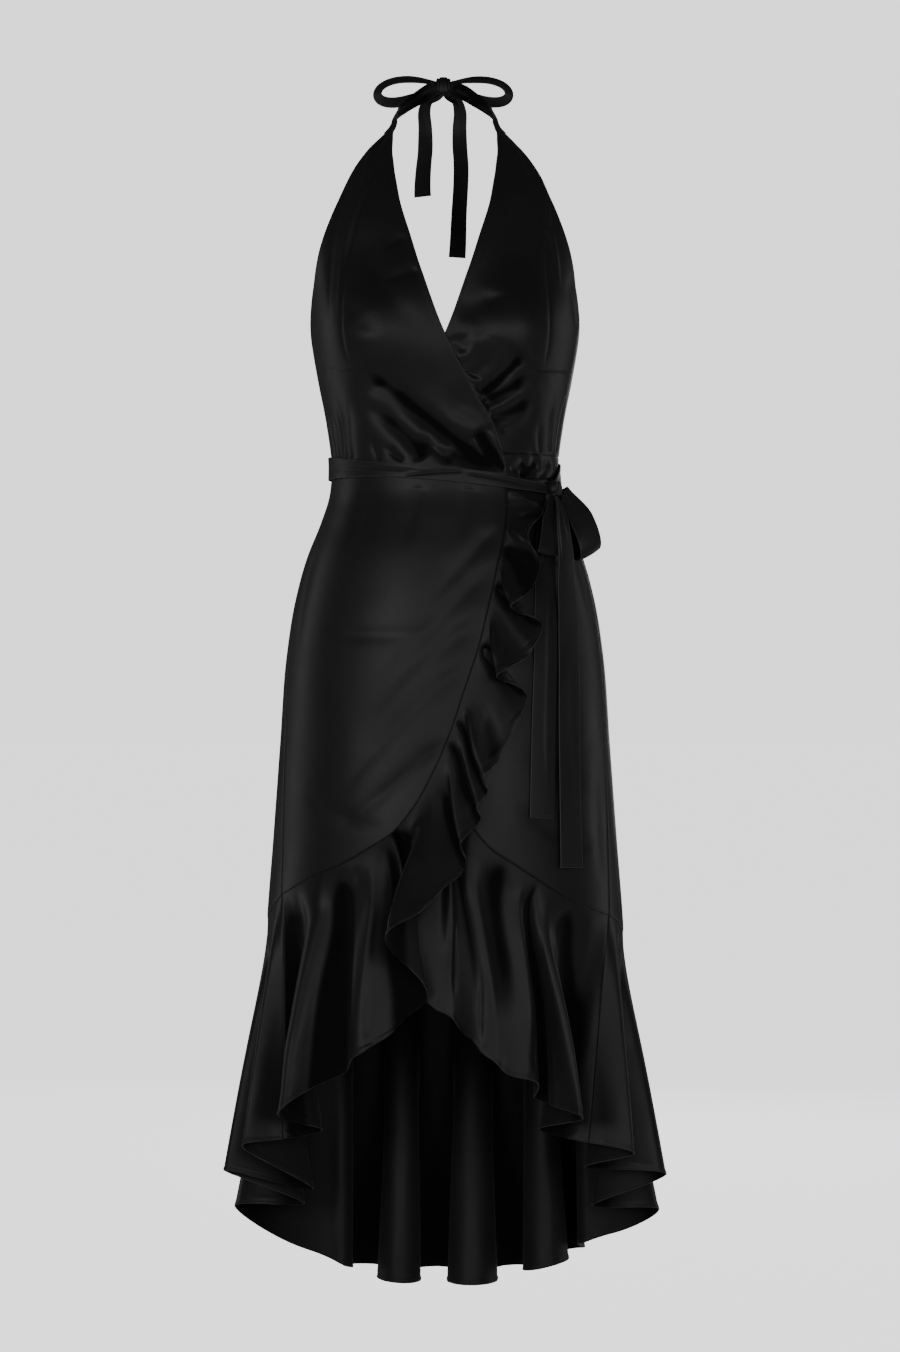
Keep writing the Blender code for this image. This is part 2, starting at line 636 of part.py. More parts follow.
def knot(collection, name, place, size, turn):
    """A rounded knot: a ball drawn towards its box, turned about the upright."""
    mesh = bpy.data.meshes.new(name)
    shape = bmesh.new()
    bmesh.ops.create_uvsphere(shape, u_segments=12, v_segments=8, radius=1.0)
    for vertex in shape.verts:
        squarer = max(abs(value) for value in vertex.co) ** KNOT_SQUARENESS
        vertex.co = Vector(
            value / squarer * length / 2 for value, length in zip(vertex.co, size)
        )
    shape.transform(Matrix.Translation(place) @ Matrix.Rotation(turn, 4, "Z"))
    shape.to_mesh(mesh)
    shape.free()
    mesh.shade_smooth()
    mesh.materials.append(satin(name + "_satin"))
    piece = bpy.data.objects.new(name, mesh)
    collection.objects.link(piece)
    return piece


def build_bodice(collection):
    left_waist = table("angle drop", [(-SIDE_ANGLE, WAIST_TOP), (SIDE_ANGLE, WAIST_TOP)])
    right = front_bodice(-1, RIGHT_WAIST, right_front_out)
    left = front_bodice(1, left_waist, left_front_out, (12, 9), 16)
    cloth(collection, "front_right_bodice", right)
    cloth(collection, "front_left_bodice", left)
    cloth(collection, "back_bodice", back_bodice())
    cloth(collection, "waistband_front_left", waistband(-30.6, SIDE_ANGLE, left_front_out, 20))
    cloth(
        collection, "waistband_back", waistband(SIDE_ANGLE, 360 - SIDE_ANGLE, under_out, 24)
    )


def build_skirt(collection):
    """The three skirt panels and the flounces on their edges."""
    over, under, back = over_skirt(), under_skirt(), back_skirt()
    cloth(collection, "skirt_front_right", over)
    cloth(collection, "skirt_front_left", under)
    cloth(collection, "skirt_back", back)
    wrap_edge = (slice(1, None), -1)
    lower_edge_back = (-1, slice(-2, None, -1))
    lower_edge = (-1, slice(None))
    over_edge = edge_and_away(over, (wrap_edge, lower_edge_back))
    under_edge = edge_and_away(under, (lower_edge,))
    back_edge = edge_and_away(back, (lower_edge,))
    for name, points in (
        ("flounce_front_right", flounce(*over_edge, OVER_FOLDS, 3, 4)),
        ("flounce_front_left", flounce(*under_edge, UNDER_FOLDS, 4, 6, HIDDEN_END)),
        ("flounce_back", flounce(*back_edge, BACK_FOLDS, 3, 6)),
    ):
        cloth(collection, name, points, FLOUNCE_WALL)


def build_sash(collection):
    """The sash round the waist and its bow at the wearer's left hip."""
    cloth(collection, "waist_tie", band_on_body(SASH, None, 60))
    place = body(KNOT_ANGLE, KNOT_DROP, KNOT_OUT)
    knot(collection, "waist_knot", place, KNOT_SIZE, math.radians(KNOT_ANGLE))
    cloth(collection, "waist_tail_long", band_on_body(LONG_TAIL, None, 20))
    cloth(collection, "waist_tail_short", band_on_body(SHORT_TAIL, None, 16))
    for word, (root, end, rise, breadth) in (("right", RIGHT_WAIST_LOOP), ("left", LEFT_WAIST_LOOP)):
        root, end = body(*root), body(*end)
        cloth(collection, "waist_loop_" + word, loop_band(root, end - root, rise, breadth))


def build_neck(collection):
    """The neck ties and their bow at the nape."""
    for side, word, nape, tail in (
        (-1, "right", NAPE_ANGLES[0], RIGHT_NECK_TAIL),
        (1, "left", NAPE_ANGLES[1], LEFT_NECK_TAIL),
    ):
        line = dict(NECK_TIE, angle=side * NECK_TIE["angle"])
        line["angle"][-1] = nape
        cloth(collection, "neck_tie_" + word, band_on_body(line, NECK_TIE_WIDTH, 14))
        root = np.array(NECK_LOOP_ROOT) * (side, 1, 1) + (NECK_KNOT_PLACE[0], 0, 0)
        reach = np.array(NECK_LOOP_REACH) * (side, 1, 1)
        loop = loop_band(root, reach, NECK_LOOP_RISE, NECK_LOOP_BREADTH, NECK_LOOP_FLARE)
        cloth(collection, "neck_loop_" + word, loop)
        cloth(collection, "neck_tail_" + word, band_on_body(tail, None, 12))
    knot(collection, "neck_knot", NECK_KNOT_PLACE, NECK_KNOT_SIZE, 0.0)


def main():
    for old in list(bpy.data.objects):
        bpy.data.objects.remove(old)
    collection = bpy.data.collections.new("wrap_dress")
    bpy.context.scene.collection.children.link(collection)
    build_bodice(collection)
    build_skirt(collection)
    build_sash(collection)
    build_neck(collection)


main()
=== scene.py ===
"""The looks of a black satin halter wrap dress with a cascading flounce, hollow and as worn.

Metres, +Z up, the front faces -Y and +X is the wearer's left. The origin is the nape of the
neck. Heights are drops below the nape, and depths are distances forward of the upright axis of
the body.

Every piece of cloth is a grid of points on the form of the solid that it stands for, with its
creases moved out or in by tables of folds, a row for each. It then gets a wall that rounds off
at its edges, is doubled at its hems and dips at its seams. The satin is duller in hollows, and
painted shade darkens its colour there, by how far in the form lies there from its surroundings;
painted shade also darkens its seams, and a painted highlight lightens its rounded edges.
"""

import math

import bpy
import numpy as np
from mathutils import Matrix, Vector


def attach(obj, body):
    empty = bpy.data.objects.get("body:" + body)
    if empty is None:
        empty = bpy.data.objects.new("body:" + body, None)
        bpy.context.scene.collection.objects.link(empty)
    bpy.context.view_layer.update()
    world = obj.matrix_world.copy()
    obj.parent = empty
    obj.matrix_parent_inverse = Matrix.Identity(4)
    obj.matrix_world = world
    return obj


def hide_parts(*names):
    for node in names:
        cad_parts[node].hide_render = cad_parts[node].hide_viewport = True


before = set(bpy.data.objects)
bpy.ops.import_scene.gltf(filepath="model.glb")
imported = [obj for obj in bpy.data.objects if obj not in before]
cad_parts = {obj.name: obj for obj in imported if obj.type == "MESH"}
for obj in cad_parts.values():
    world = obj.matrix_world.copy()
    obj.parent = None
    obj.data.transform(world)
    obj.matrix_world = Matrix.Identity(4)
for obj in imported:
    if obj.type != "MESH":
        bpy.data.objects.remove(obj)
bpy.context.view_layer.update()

# The body form, and where the panels' edges lie on it: drops, and angles from the front.
BODY_AXIS_Y = -0.062
UNDERARM = 0.320
WAIST_TOP = 0.4355
WAIST_BOTTOM = 0.4625
HALTER_TOP = 0.072
SIDE_ANGLE = 88.0
WRAP_ANGLE = 31.4
BAND_ANGLE = -30.6  # where the front's waistband ends under the wrap
BACK_DIP = 0.030  # how much lower the back's top is in its middle than at its sides
BACK_DIP_TURN = 70  # the degrees over which it dips

# The cups' fullness: its place on each side, how far it stands out, and its reach each way.
CUP_ACROSS = 0.088
CUP_DROP = 0.302
CUP_OUT = 0.020
CUP_WIDTH = 0.055
CUP_HEIGHT = 0.060
CUP_SIDE = 0.4  # it is full where the cosine of the angle is more than this

# How far the two layers lie out from the form, and where the right one comes to lie on the
# left one: from which angle and drop on, and over how much.
UNDER_OUT = 0.0020
OVER_OUT = 0.0062
LAP_ANGLE, LAP_TURN = -74, 34
LAP_DROP, LAP_FALL = 0.14, 0.12
SASH_COVER = 0.006  # how far above the right front's waist the sash holds its folds down
SASH_HOLD = 0.009  # and over how much further up it lets them go

# Where the right front covers the left one, the left one lies in by this much, from so many
# degrees within the right one's edge on, and from a drop on, each over its own width.
COVERED_DEPTH = 0.0105
COVERED_IN, COVERED_TURN = 0.3, 4.0
COVERED_DROP, COVERED_FALL = 0.24, 0.05

# The over skirt's side and wrap edge.
SASH_LAP = 0.05  # the share of its side that is under the sash
OVER_CORNER = 0.71  # the share of its curved edge, from the sash down, that is its wrap edge

# The creases' shape.
FOLD_RADIUS = 0.115  # turns angles into lengths round the body
A_DEGREE = math.radians(FOLD_RADIUS)  # the length of one degree at that radius
PLEAT_TAPER = 0.8  # how much narrower the pleats are where they end than where they begin
FADED_WIDTH, WIDENING = 0.55, 0.45  # the shares of a width at a crease's ends and gained between
CUSP_BLUNTNESS = 0.55

# The flounces.
FLUTE_ROUNDNESS = 1.6  # how much fuller than an even curve the flutes turn at the hem
FLOUNCE_END = 1 / 9  # the share of an edge over which a flounce comes to leave it at a tangent
HIDDEN_END = 1 / 2.5  # and the same at the under flounce's hidden end
FLOUNCE_FALL = 0.16  # about how far a flounce falls, for the spacing of its lines
HEM_WAVES = ((0.0031, 0.0), (0.0019, 1.0), (0.0053, 2.0))  # lengths and turns of a hem's waves
HEM_WAVE_HEIGHT = 0.00022
HEM_WAVE_REACH = 0.010  # how far up from the hem they reach
WAVELESS_FALL = 0.02  # a flounce that falls less than this has weaker ones

# The bows.
LOOP_START = 0.55  # radians round a loop where it leaves the knot
LOOP_HIDDEN = 0.25  # and where it ends inside the knot
LOOP_PINCH = 0.45  # the share of its width that a loop has in the knot
LOOP_OPENING = 1.1  # 1 less the cosine of the turn by which it has its whole width
LOOP_PLEAT, LOOP_PLEAT_TURN = 0.0006, 0.6  # how high the pleats stand, and where their waves begin
LOOP_BULGE = 0.0012
KNOT_SQUARENESS = 0.45
TIE_JOIN = 0.08  # the share of a neck tie over which it leaves the front's own top edge

# How far in a point lies that is in full shade. A point's surroundings reach some cells each way.
HOLLOW_CELLS = 8
HOLLOW_DEPTH = 0.0025
BAND_HOLLOW_DEPTH = 0.0009
RIGHT_HOLLOW_DEPTH = 0.0036  # on the right front flounce
LEFT_HOLLOW_DEPTH = 0.0034  # and on the left one
MIDDLE_HOLLOW_DEPTH = 0.042  # in the middle of the back flounce
SIDE_HOLLOW_DEPTH = 0.015  # and at its sides
MIDDLE_HALF_WIDTH = 0.10
MIDDLE_FADE = 0.07

# The walls and their edges.
CLOTH = 0.0007  # the satin's own wall
HEM = 0.0015  # a narrow hem, turned twice
HEM_WIDTH = 0.0046
TURNED = 0.0011  # an edge that is faced on the inside
TURNED_WIDTH = 0.0060
HEM_STEP = 0.0006  # the width over which a turning ends
TIE = 0.0015  # a tie is a tube of satin, pressed flat
SEAM_ROUND = 0.0005
EDGE_ROUND = 0.0008
SEAM_DIP = 0.0007
SEAM_REACH = 0.0016
DART_DROP = 0.3435
DART_LINES = np.linspace(-0.0042, 0.0042, 13)  # more rows above and below the dart
# How far a grid's close lines lie from its finished edges.
CLOSE_LINES = np.array(
    [0, 0.0002, 0.0005, 0.0009, 0.0014, 0.0022, 0.0034, 0.0044, 0.0051, 0.0062, 0.0080]
)


def table(columns, rows):
    """A dictionary with one array for each named column."""
    return dict(zip(columns.split(), np.array(rows, float).T))


# The body form's half width and its depth before and behind the axis at each level.
BODY = table("drop half_width front back", [
    (-0.020, 0.056, 0.052, 0.056),
    (0.020, 0.058, 0.055, 0.058),
    (0.060, 0.068, 0.056, 0.062),
    (0.095, 0.112, 0.066, 0.080),
    (0.155, 0.150, 0.086, 0.100),
    (0.200, 0.160, 0.096, 0.104),
    (0.250, 0.158, 0.102, 0.104),
    (0.300, 0.150, 0.104, 0.102),
    (0.350, 0.142, 0.100, 0.096),
    (0.400, 0.1325, 0.094, 0.088),
    (0.450, 0.127, 0.090, 0.082),
    (0.480, 0.1295, 0.091, 0.084),
    (0.510, 0.139, 0.096, 0.093),
    (0.550, 0.155, 0.103, 0.108),
    (0.600, 0.1685, 0.109, 0.124),
    (0.660, 0.178, 0.114, 0.135),
    (0.760, 0.1855, 0.120, 0.138),
    (0.870, 0.1935, 0.127, 0.140),
    (0.970, 0.201, 0.134, 0.142),
    (1.060, 0.204, 0.138, 0.142),
])

# The edges of the panels.
NECKLINE = table("drop angle", [
    (0.066, 49.5), (0.082, 37.0), (0.102, 29.0), (0.126, 23.6), (0.157, 18.9), (0.186, 14.7),
    (0.235, 8.9), (0.299, 0.8), (0.338, -6.1), (0.374, -14.0), (0.400, -21.7), (0.416, -25.4),
    (WAIST_TOP, -29.2), (0.465, -WRAP_ANGLE),
])
ARMHOLE = table("drop angle", [
    (0.066, 58.0), (0.078, 54.8), (0.090, 53.0), (0.110, 52.6), (0.138, 53.0), (0.168, 55.3),
    (0.195, 58.8), (0.225, 62.8), (0.250, 66.0), (0.285, 73.0), (0.305, 79.5), (0.320, 88.0),
])
RIGHT_WAIST = table("angle drop", [
    (-88.0, 0.4490), (-50.0, 0.4520), (-20.0, 0.4560), (0.0, 0.4600), (20.0, 0.4645),
    (WRAP_ANGLE, 0.4680),
])
OVER_EDGE = table("angle drop", [
    (WRAP_ANGLE, 0.4790), (30.6, 0.490), (28.5, 0.510), (22.4, 0.552), (17.0, 0.600),
    (11.7, 0.655), (7.1, 0.696), (1.8, 0.747), (-3.4, 0.787), (-9.4, 0.825), (-17.5, 0.857),
    (-26.0, 0.876), (-35.0, 0.892), (-44.0, 0.903), (-54.0, 0.917), (-66.0, 0.930),
])
UNDER_EDGE = table("angle drop", [
    (-1.8, 0.770), (3.4, 0.810), (8.3, 0.847), (15.1, 0.875), (22.8, 0.892), (30.1, 0.907),
    (40.1, 0.926), (47.6, 0.937), (57.0, 0.947), (66.0, 0.953),
])
UNDER_FREE_EDGE = table("angle drop", [
    (-WRAP_ANGLE, 0.4629), (-30.0, 0.520), (-25.0, 0.565), (-17.0, 0.625), (-9.3, 0.700),
    (-1.8, 0.770),
])
BACK_EDGE = table("angle drop", [
    (66.0, 0.953), (80.0, 0.966), (100.0, 0.985), (140.0, 1.018), (180.0, 1.032),
    (220.0, 1.012), (260.0, 0.972), (280.0, 0.949), (294.0, 0.930),
])

# The hems of the flounces, a row for each ridge, valley or turn of a fold. The share is how far
# along the edge above it the fold starts.
OVER_FOLDS = table("share across forward drop", [
    (0.000, 0.078, 0.083, 0.4800),
    (0.022, 0.096, 0.078, 0.488),
    (0.036, 0.110, 0.079, 0.500),
    (0.055, 0.098, 0.092, 0.516),
    (0.075, 0.093, 0.108, 0.534),
    (0.100, 0.105, 0.112, 0.560),
    (0.130, 0.092, 0.118, 0.592),
    (0.155, 0.073, 0.129, 0.607),
    (0.172, 0.086, 0.114, 0.616),
    (0.192, 0.106, 0.101, 0.625),
    (0.216, 0.100, 0.114, 0.649),
    (0.235, 0.085, 0.122, 0.668),
    (0.262, 0.058, 0.138, 0.683),
    (0.287, 0.071, 0.123, 0.692),
    (0.312, 0.089, 0.110, 0.703),
    (0.345, 0.082, 0.121, 0.730),
    (0.405, 0.056, 0.136, 0.781),
    (0.438, 0.042, 0.144, 0.797),
    (0.461, 0.047, 0.132, 0.811),
    (0.484, 0.036, 0.141, 0.827),
    (0.508, 0.038, 0.134, 0.844),
    (0.538, 0.018, 0.150, 0.867),
    (0.568, 0.023, 0.143, 0.890),
    (0.600, 0.006, 0.160, 0.910),
    (0.632, -0.034, 0.188, 0.944),
    (0.658, -0.063, 0.204, 0.963),
    (0.680, -0.046, 0.180, 0.994),
    (0.703, -0.019, 0.162, 1.028),
    (0.724, -0.036, 0.152, 1.052),
    (0.752, -0.070, 0.160, 1.082),
    (0.787, -0.097, 0.163, 1.098),
    (0.842, -0.122, 0.146, 1.124),
    (0.920, -0.183, 0.160, 1.161),
    (0.965, -0.137, 0.078, 1.190),
    (1.000, -0.180, 0.089, 1.199),
])
UNDER_FOLDS = table("share across forward drop", [
    (0.00, -0.045, 0.141, 0.985),
    (0.10, -0.018, 0.148, 1.042),
    (0.19, 0.002, 0.150, 1.054),
    (0.27, 0.024, 0.147, 1.078),
    (0.37, 0.048, 0.156, 1.101),
    (0.48, 0.074, 0.155, 1.121),
    (0.57, 0.100, 0.150, 1.128),
    (0.62, 0.106, 0.135, 1.150),
    (0.66, 0.122, 0.148, 1.156),
    (0.72, 0.150, 0.163, 1.167),
    (0.86, 0.105, 0.078, 1.190),
    (1.00, 0.160, 0.089, 1.203),
])
BACK_FOLDS = table("share across forward drop", [
    (0.000, 0.160, 0.089, 1.203),
    (0.028, 0.210, 0.100, 1.214),
    (0.060, 0.158, 0.043, 1.238),
    (0.100, 0.250, 0.032, 1.247),
    (0.140, 0.168, -0.013, 1.290),
    (0.185, 0.246, -0.045, 1.299),
    (0.232, 0.196, -0.072, 1.332),
    (0.258, 0.157, -0.082, 1.346),
    (0.278, 0.164, -0.145, 1.362),
    (0.302, 0.136, -0.150, 1.368),
    (0.322, 0.141, -0.080, 1.366),
    (0.352, 0.094, -0.080, 1.377),
    (0.376, 0.099, -0.170, 1.388),
    (0.410, 0.057, -0.172, 1.392),
    (0.432, 0.057, -0.080, 1.391),
    (0.468, 0.005, -0.080, 1.391),
    (0.490, 0.014, -0.175, 1.393),
    (0.526, -0.038, -0.175, 1.393),
    (0.546, -0.031, -0.080, 1.390),
    (0.580, -0.077, -0.080, 1.387),
    (0.602, -0.070, -0.170, 1.389),
    (0.636, -0.118, -0.165, 1.386),
    (0.658, -0.111, -0.080, 1.373),
    (0.702, -0.161, -0.078, 1.352),
    (0.800, -0.243, -0.050, 1.297),
    (0.855, -0.160, -0.008, 1.287),
    (0.895, -0.250, 0.035, 1.242),
    (0.935, -0.149, 0.030, 1.265),
    (0.970, -0.223, 0.100, 1.208),
    (1.000, -0.180, 0.089, 1.199),
])

# The sash, the ties and their ends: places of their middle line, and their width there.
SASH = table("angle drop width out", [
    (56.4, 0.4745, 0.010, 0.0100),
    (40.0, 0.4705, 0.012, 0.0092),
    (20.0, 0.4645, 0.015, 0.0092),
    (0.0, 0.4600, 0.015, 0.0092),
    (-20.0, 0.4560, 0.015, 0.0092),
    (-50.0, 0.4520, 0.019, 0.0080),
    (-75.0, 0.4492, 0.025, 0.0058),
    (-100.0, 0.4490, 0.026, 0.0046),
    (-180.0, 0.4500, 0.027, 0.0046),
    (-255.0, 0.4515, 0.024, 0.0046),
    (-275.0, 0.4560, 0.019, 0.0046),
    (-295.4, 0.4710, 0.012, 0.0100),
])
LONG_TAIL = table("angle drop width out", [
    (60.0, 0.4848, 0.013, 0.0186), (52.0, 0.513, 0.018, 0.0320), (50.0, 0.545, 0.022, 0.0280),
    (50.0, 0.576, 0.025, 0.0180), (50.2, 0.623, 0.028, 0.0085), (48.5, 0.680, 0.029, 0.0069),
    (46.8, 0.760, 0.029, 0.0068), (45.4, 0.840, 0.029, 0.0068), (44.6, 0.897, 0.030, 0.0070),
])
SHORT_TAIL = table("angle drop width out", [
    (60.0, 0.4840, 0.012, 0.0090), (53.5, 0.512, 0.018, 0.0050), (45.0, 0.555, 0.026, 0.0045),
    (40.5, 0.610, 0.029, 0.0044), (37.5, 0.680, 0.029, 0.0044), (35.3, 0.760, 0.029, 0.0044),
    (33.6, 0.842, 0.030, 0.0046),
])
WAIST_KNOT_PLACE = (60.5, 0.4745, 0.0145)  # angle, drop and out
WAIST_KNOT_SIZE = (0.0185, 0.0140, 0.0190)
KNOT_COLUMNS = "centre slope width depth"
WAIST_KNOT_FOLDS = table(KNOT_COLUMNS, [
    (-0.55, 0.50, 0.10, 0.10), (-0.05, 0.42, 0.09, 0.07), (0.50, 0.30, 0.10, 0.10),
])
# A loop's root and end as angle, drop and out, then its rise and breadth along the axes.
RIGHT_WAIST_LOOP = (
    (58.8, 0.4840, 0.0132),
    (43.0, 0.5480, 0.0170),
    (0.0030, -0.0050, 0.0),
    (0.0240, 0.0150, -0.0035),
)
LEFT_WAIST_LOOP = (
    (67.1, 0.4780, 0.0182),
    (66.0, 0.5476, 0.0250),
    (0.0080, -0.0100, 0.0040),
    (0.0236, 0.0120, 0.0141),
)
NECK_TIE = table("angle drop width out", [
    (50.8, 0.0712, 0.0120, 0.0020), (52.4, 0.0665, 0.0105, 0.0020),
    (55.5, 0.0610, 0.0092, 0.0015), (61.0, 0.0565, 0.0088, -0.0005),
    (74.0, 0.0520, 0.0100, -0.0045), (95.0, 0.0445, 0.0115, -0.0060),
    (122.0, 0.0330, 0.0130, -0.0010), (143.0, 0.0200, 0.0155, 0.0024),
    (160.0, 0.0085, 0.0170, 0.0026), (170.0, 0.0020, 0.0170, 0.0030),
])
NAPE_ANGLES = {"right": -170.5, "left": 175.0}
NECK_KNOT_SIZE = (0.0185, 0.0135, 0.0212)
NECK_KNOT_PLACE = (-0.0020, 0.0010, 0.0)
NECK_KNOT_FOLDS = table(KNOT_COLUMNS, [
    (-0.62, 0.05, 0.09, 0.12), (0.15, -0.10, 0.12, 0.03), (0.66, -0.05, 0.09, 0.12),
])
NECK_LOOP_ROOT = (0.0085, 0.0045, 0.0010)
NECK_LOOP_REACH = (0.0680, 0.0040, -0.0090)
NECK_LOOP_RISE = (0.0, 0.0, 0.0165)
NECK_LOOP_BREADTH = (0.0, -0.0120, 0.0)
NECK_LOOP_FLARE = 0.0100
RIGHT_NECK_TAIL = table("angle drop width out", [
    (183.0, 0.0075, 0.0080, 0.0060),
    (187.0, 0.0122, 0.0080, 0.0070), (197.0, 0.0170, 0.0115, 0.0068),
    (202.0, 0.0285, 0.0150, 0.0045), (200.7, 0.0504, 0.0168, 0.0030),
    (195.0, 0.0767, 0.0175, 0.0030), (191.0, 0.1240, 0.0198, 0.0030),
])
LEFT_NECK_TAIL = table("angle drop width out", [
    (180.0, 0.0075, 0.0080, 0.0060),
    (177.0, 0.0119, 0.0080, 0.0070), (169.0, 0.0165, 0.0115, 0.0068),
    (164.3, 0.0290, 0.0150, 0.0045), (165.0, 0.0500, 0.0168, 0.0030),
    (168.7, 0.0767, 0.0175, 0.0030), (173.0, 0.1300, 0.0178, 0.0030),
    (175.0, 0.1935, 0.0200, 0.0030),
])

# The creases. Each lies along a line from one place to another, bowed down by bow in its middle,
# and stands out by height, or in by it where that is less than zero. Across its line a ridge is
# a bell and a valley a cusp, above and below it each as wide as its column says, and it comes
# and goes over the first and last shares of its length.
FOLD_COLUMNS = "angle drop end_angle end_drop bow above below height coming going"
RIGHT_FOLDS = table(FOLD_COLUMNS, [
    # The long valley from the dart to the wrap's end, its lips and the pleat within it.
    (-38.5, 0.3370, 26.1, 0.4539, 0.0046, 0.0110, 0.0135, -0.0090, 0.16, 0.08),
    (-36.0, 0.3230, 25.0, 0.4450, 0.0046, 0.0160, 0.0080, 0.0010, 0.15, 0.12),
    (-40.0, 0.3660, 4.0, 0.4390, 0.0010, 0.0100, 0.0110, 0.0008, 0.20, 0.15),
    # The shorter valleys below it.
    (-41.5, 0.3775, -9.5, 0.4430, -0.0052, 0.0130, 0.0100, -0.0056, 0.45, 0.06),
    (-44.0, 0.3900, -16.0, 0.4460, -0.0045, 0.0070, 0.0100, 0.0007, 0.30, 0.10),
    (-15.5, 0.4180, 3.4, 0.4470, -0.0015, 0.0080, 0.0055, -0.0036, 0.35, 0.05),
    (-1.0, 0.4330, 20.0, 0.4505, 0.0000, 0.0055, 0.0038, -0.0030, 0.25, 0.05),
    (-31.0, 0.4260, -21.0, 0.4460, 0.0010, 0.0050, 0.0030, -0.0022, 0.50, 0.05),
    # The soft swells towards the wrap's edge.
    (-26.0, 0.3270, 17.0, 0.4080, 0.0068, 0.0180, 0.0180, -0.0030, 0.40, 0.30),
    (-14.0, 0.3300, 19.0, 0.3960, 0.0060, 0.0160, 0.0140, -0.0018, 0.40, 0.40),
    (-20.0, 0.3480, 18.0, 0.4230, 0.0050, 0.0110, 0.0090, 0.0006, 0.30, 0.20),
    # The pleat that opens beside the wrap's end.
    (15.2, 0.4105, 30.4, 0.4560, 0.0016, 0.0066, 0.0062, -0.0090, 0.12, 0.16),
    (14.0, 0.4130, 28.9, 0.4552, 0.0070, 0.0040, 0.0022, 0.0020, 0.15, 0.05),
    (18.6, 0.4090, 31.0, 0.4548, -0.0030, 0.0022, 0.0036, 0.0020, 0.15, 0.05),
    # The dart, the seams that shape the cup, and slight strains beside them.
    (-57.0, 0.3427, -39.8, 0.3419, 0.0000, 0.0011, 0.0011, -0.0011, 0.04, 0.04),
    (-56.0, 0.3457, -40.0, 0.3447, 0.0000, 0.0020, 0.0030, 0.0005, 0.20, 0.20),
    (-35.2, 0.1300, -41.6, 0.3409, 0.0060, 0.0016, 0.0030, -0.0008, 0.10, 0.10),
    (-38.4, 0.1300, -43.0, 0.3000, 0.0050, 0.0030, 0.0040, 0.0011, 0.15, 0.40),
    (-54.0, 0.0760, -37.9, 0.1467, -0.0060, 0.0050, 0.0050, 0.0013, 0.20, 0.40),
    (-50.0, 0.0740, -35.0, 0.1448, -0.0060, 0.0026, 0.0026, -0.0014, 0.10, 0.20),
    (-47.2, 0.1103, -49.4, 0.2990, 0.0040, 0.0050, 0.0050, -0.0011, 0.30, 0.40),
    (-14.0, 0.1950, -26.0, 0.2150, 0.0010, 0.0050, 0.0060, -0.0011, 0.30, 0.50),
    (-9.0, 0.2350, -26.0, 0.2500, 0.0010, 0.0050, 0.0080, -0.0014, 0.20, 0.50),
    # The broad soft hollows and swells down the breast.
    (-37.0, 0.1700, -19.0, 0.2800, 0.0060, 0.0200, 0.0200, -0.0034, 0.40, 0.40),
    (-22.0, 0.1900, -6.0, 0.3050, 0.0040, 0.0150, 0.0150, 0.0022, 0.40, 0.40),
    (-42.0, 0.2600, -24.0, 0.3100, 0.0040, 0.0130, 0.0130, -0.0020, 0.40, 0.40),
    # The strains from the side to the sash.
    (-46.0, 0.3700, -51.5, 0.4440, 0.0050, 0.0070, 0.0070, -0.0018, 0.50, 0.08),
    (-53.0, 0.3560, -57.5, 0.4440, 0.0030, 0.0070, 0.0050, -0.0020, 0.50, 0.06),
    (-59.5, 0.3700, -61.5, 0.4440, -0.0010, 0.0040, 0.0040, -0.0016, 0.50, 0.05),
    (-66.0, 0.3850, -66.0, 0.4440, 0.0010, 0.0050, 0.0040, -0.0018, 0.50, 0.05),
    (-75.0, 0.3600, -73.0, 0.4440, 0.0010, 0.0050, 0.0040, -0.0014, 0.50, 0.05),
    (-38.0, 0.4160, -34.0, 0.4450, 0.0010, 0.0050, 0.0030, -0.0014, 0.50, 0.05),
])
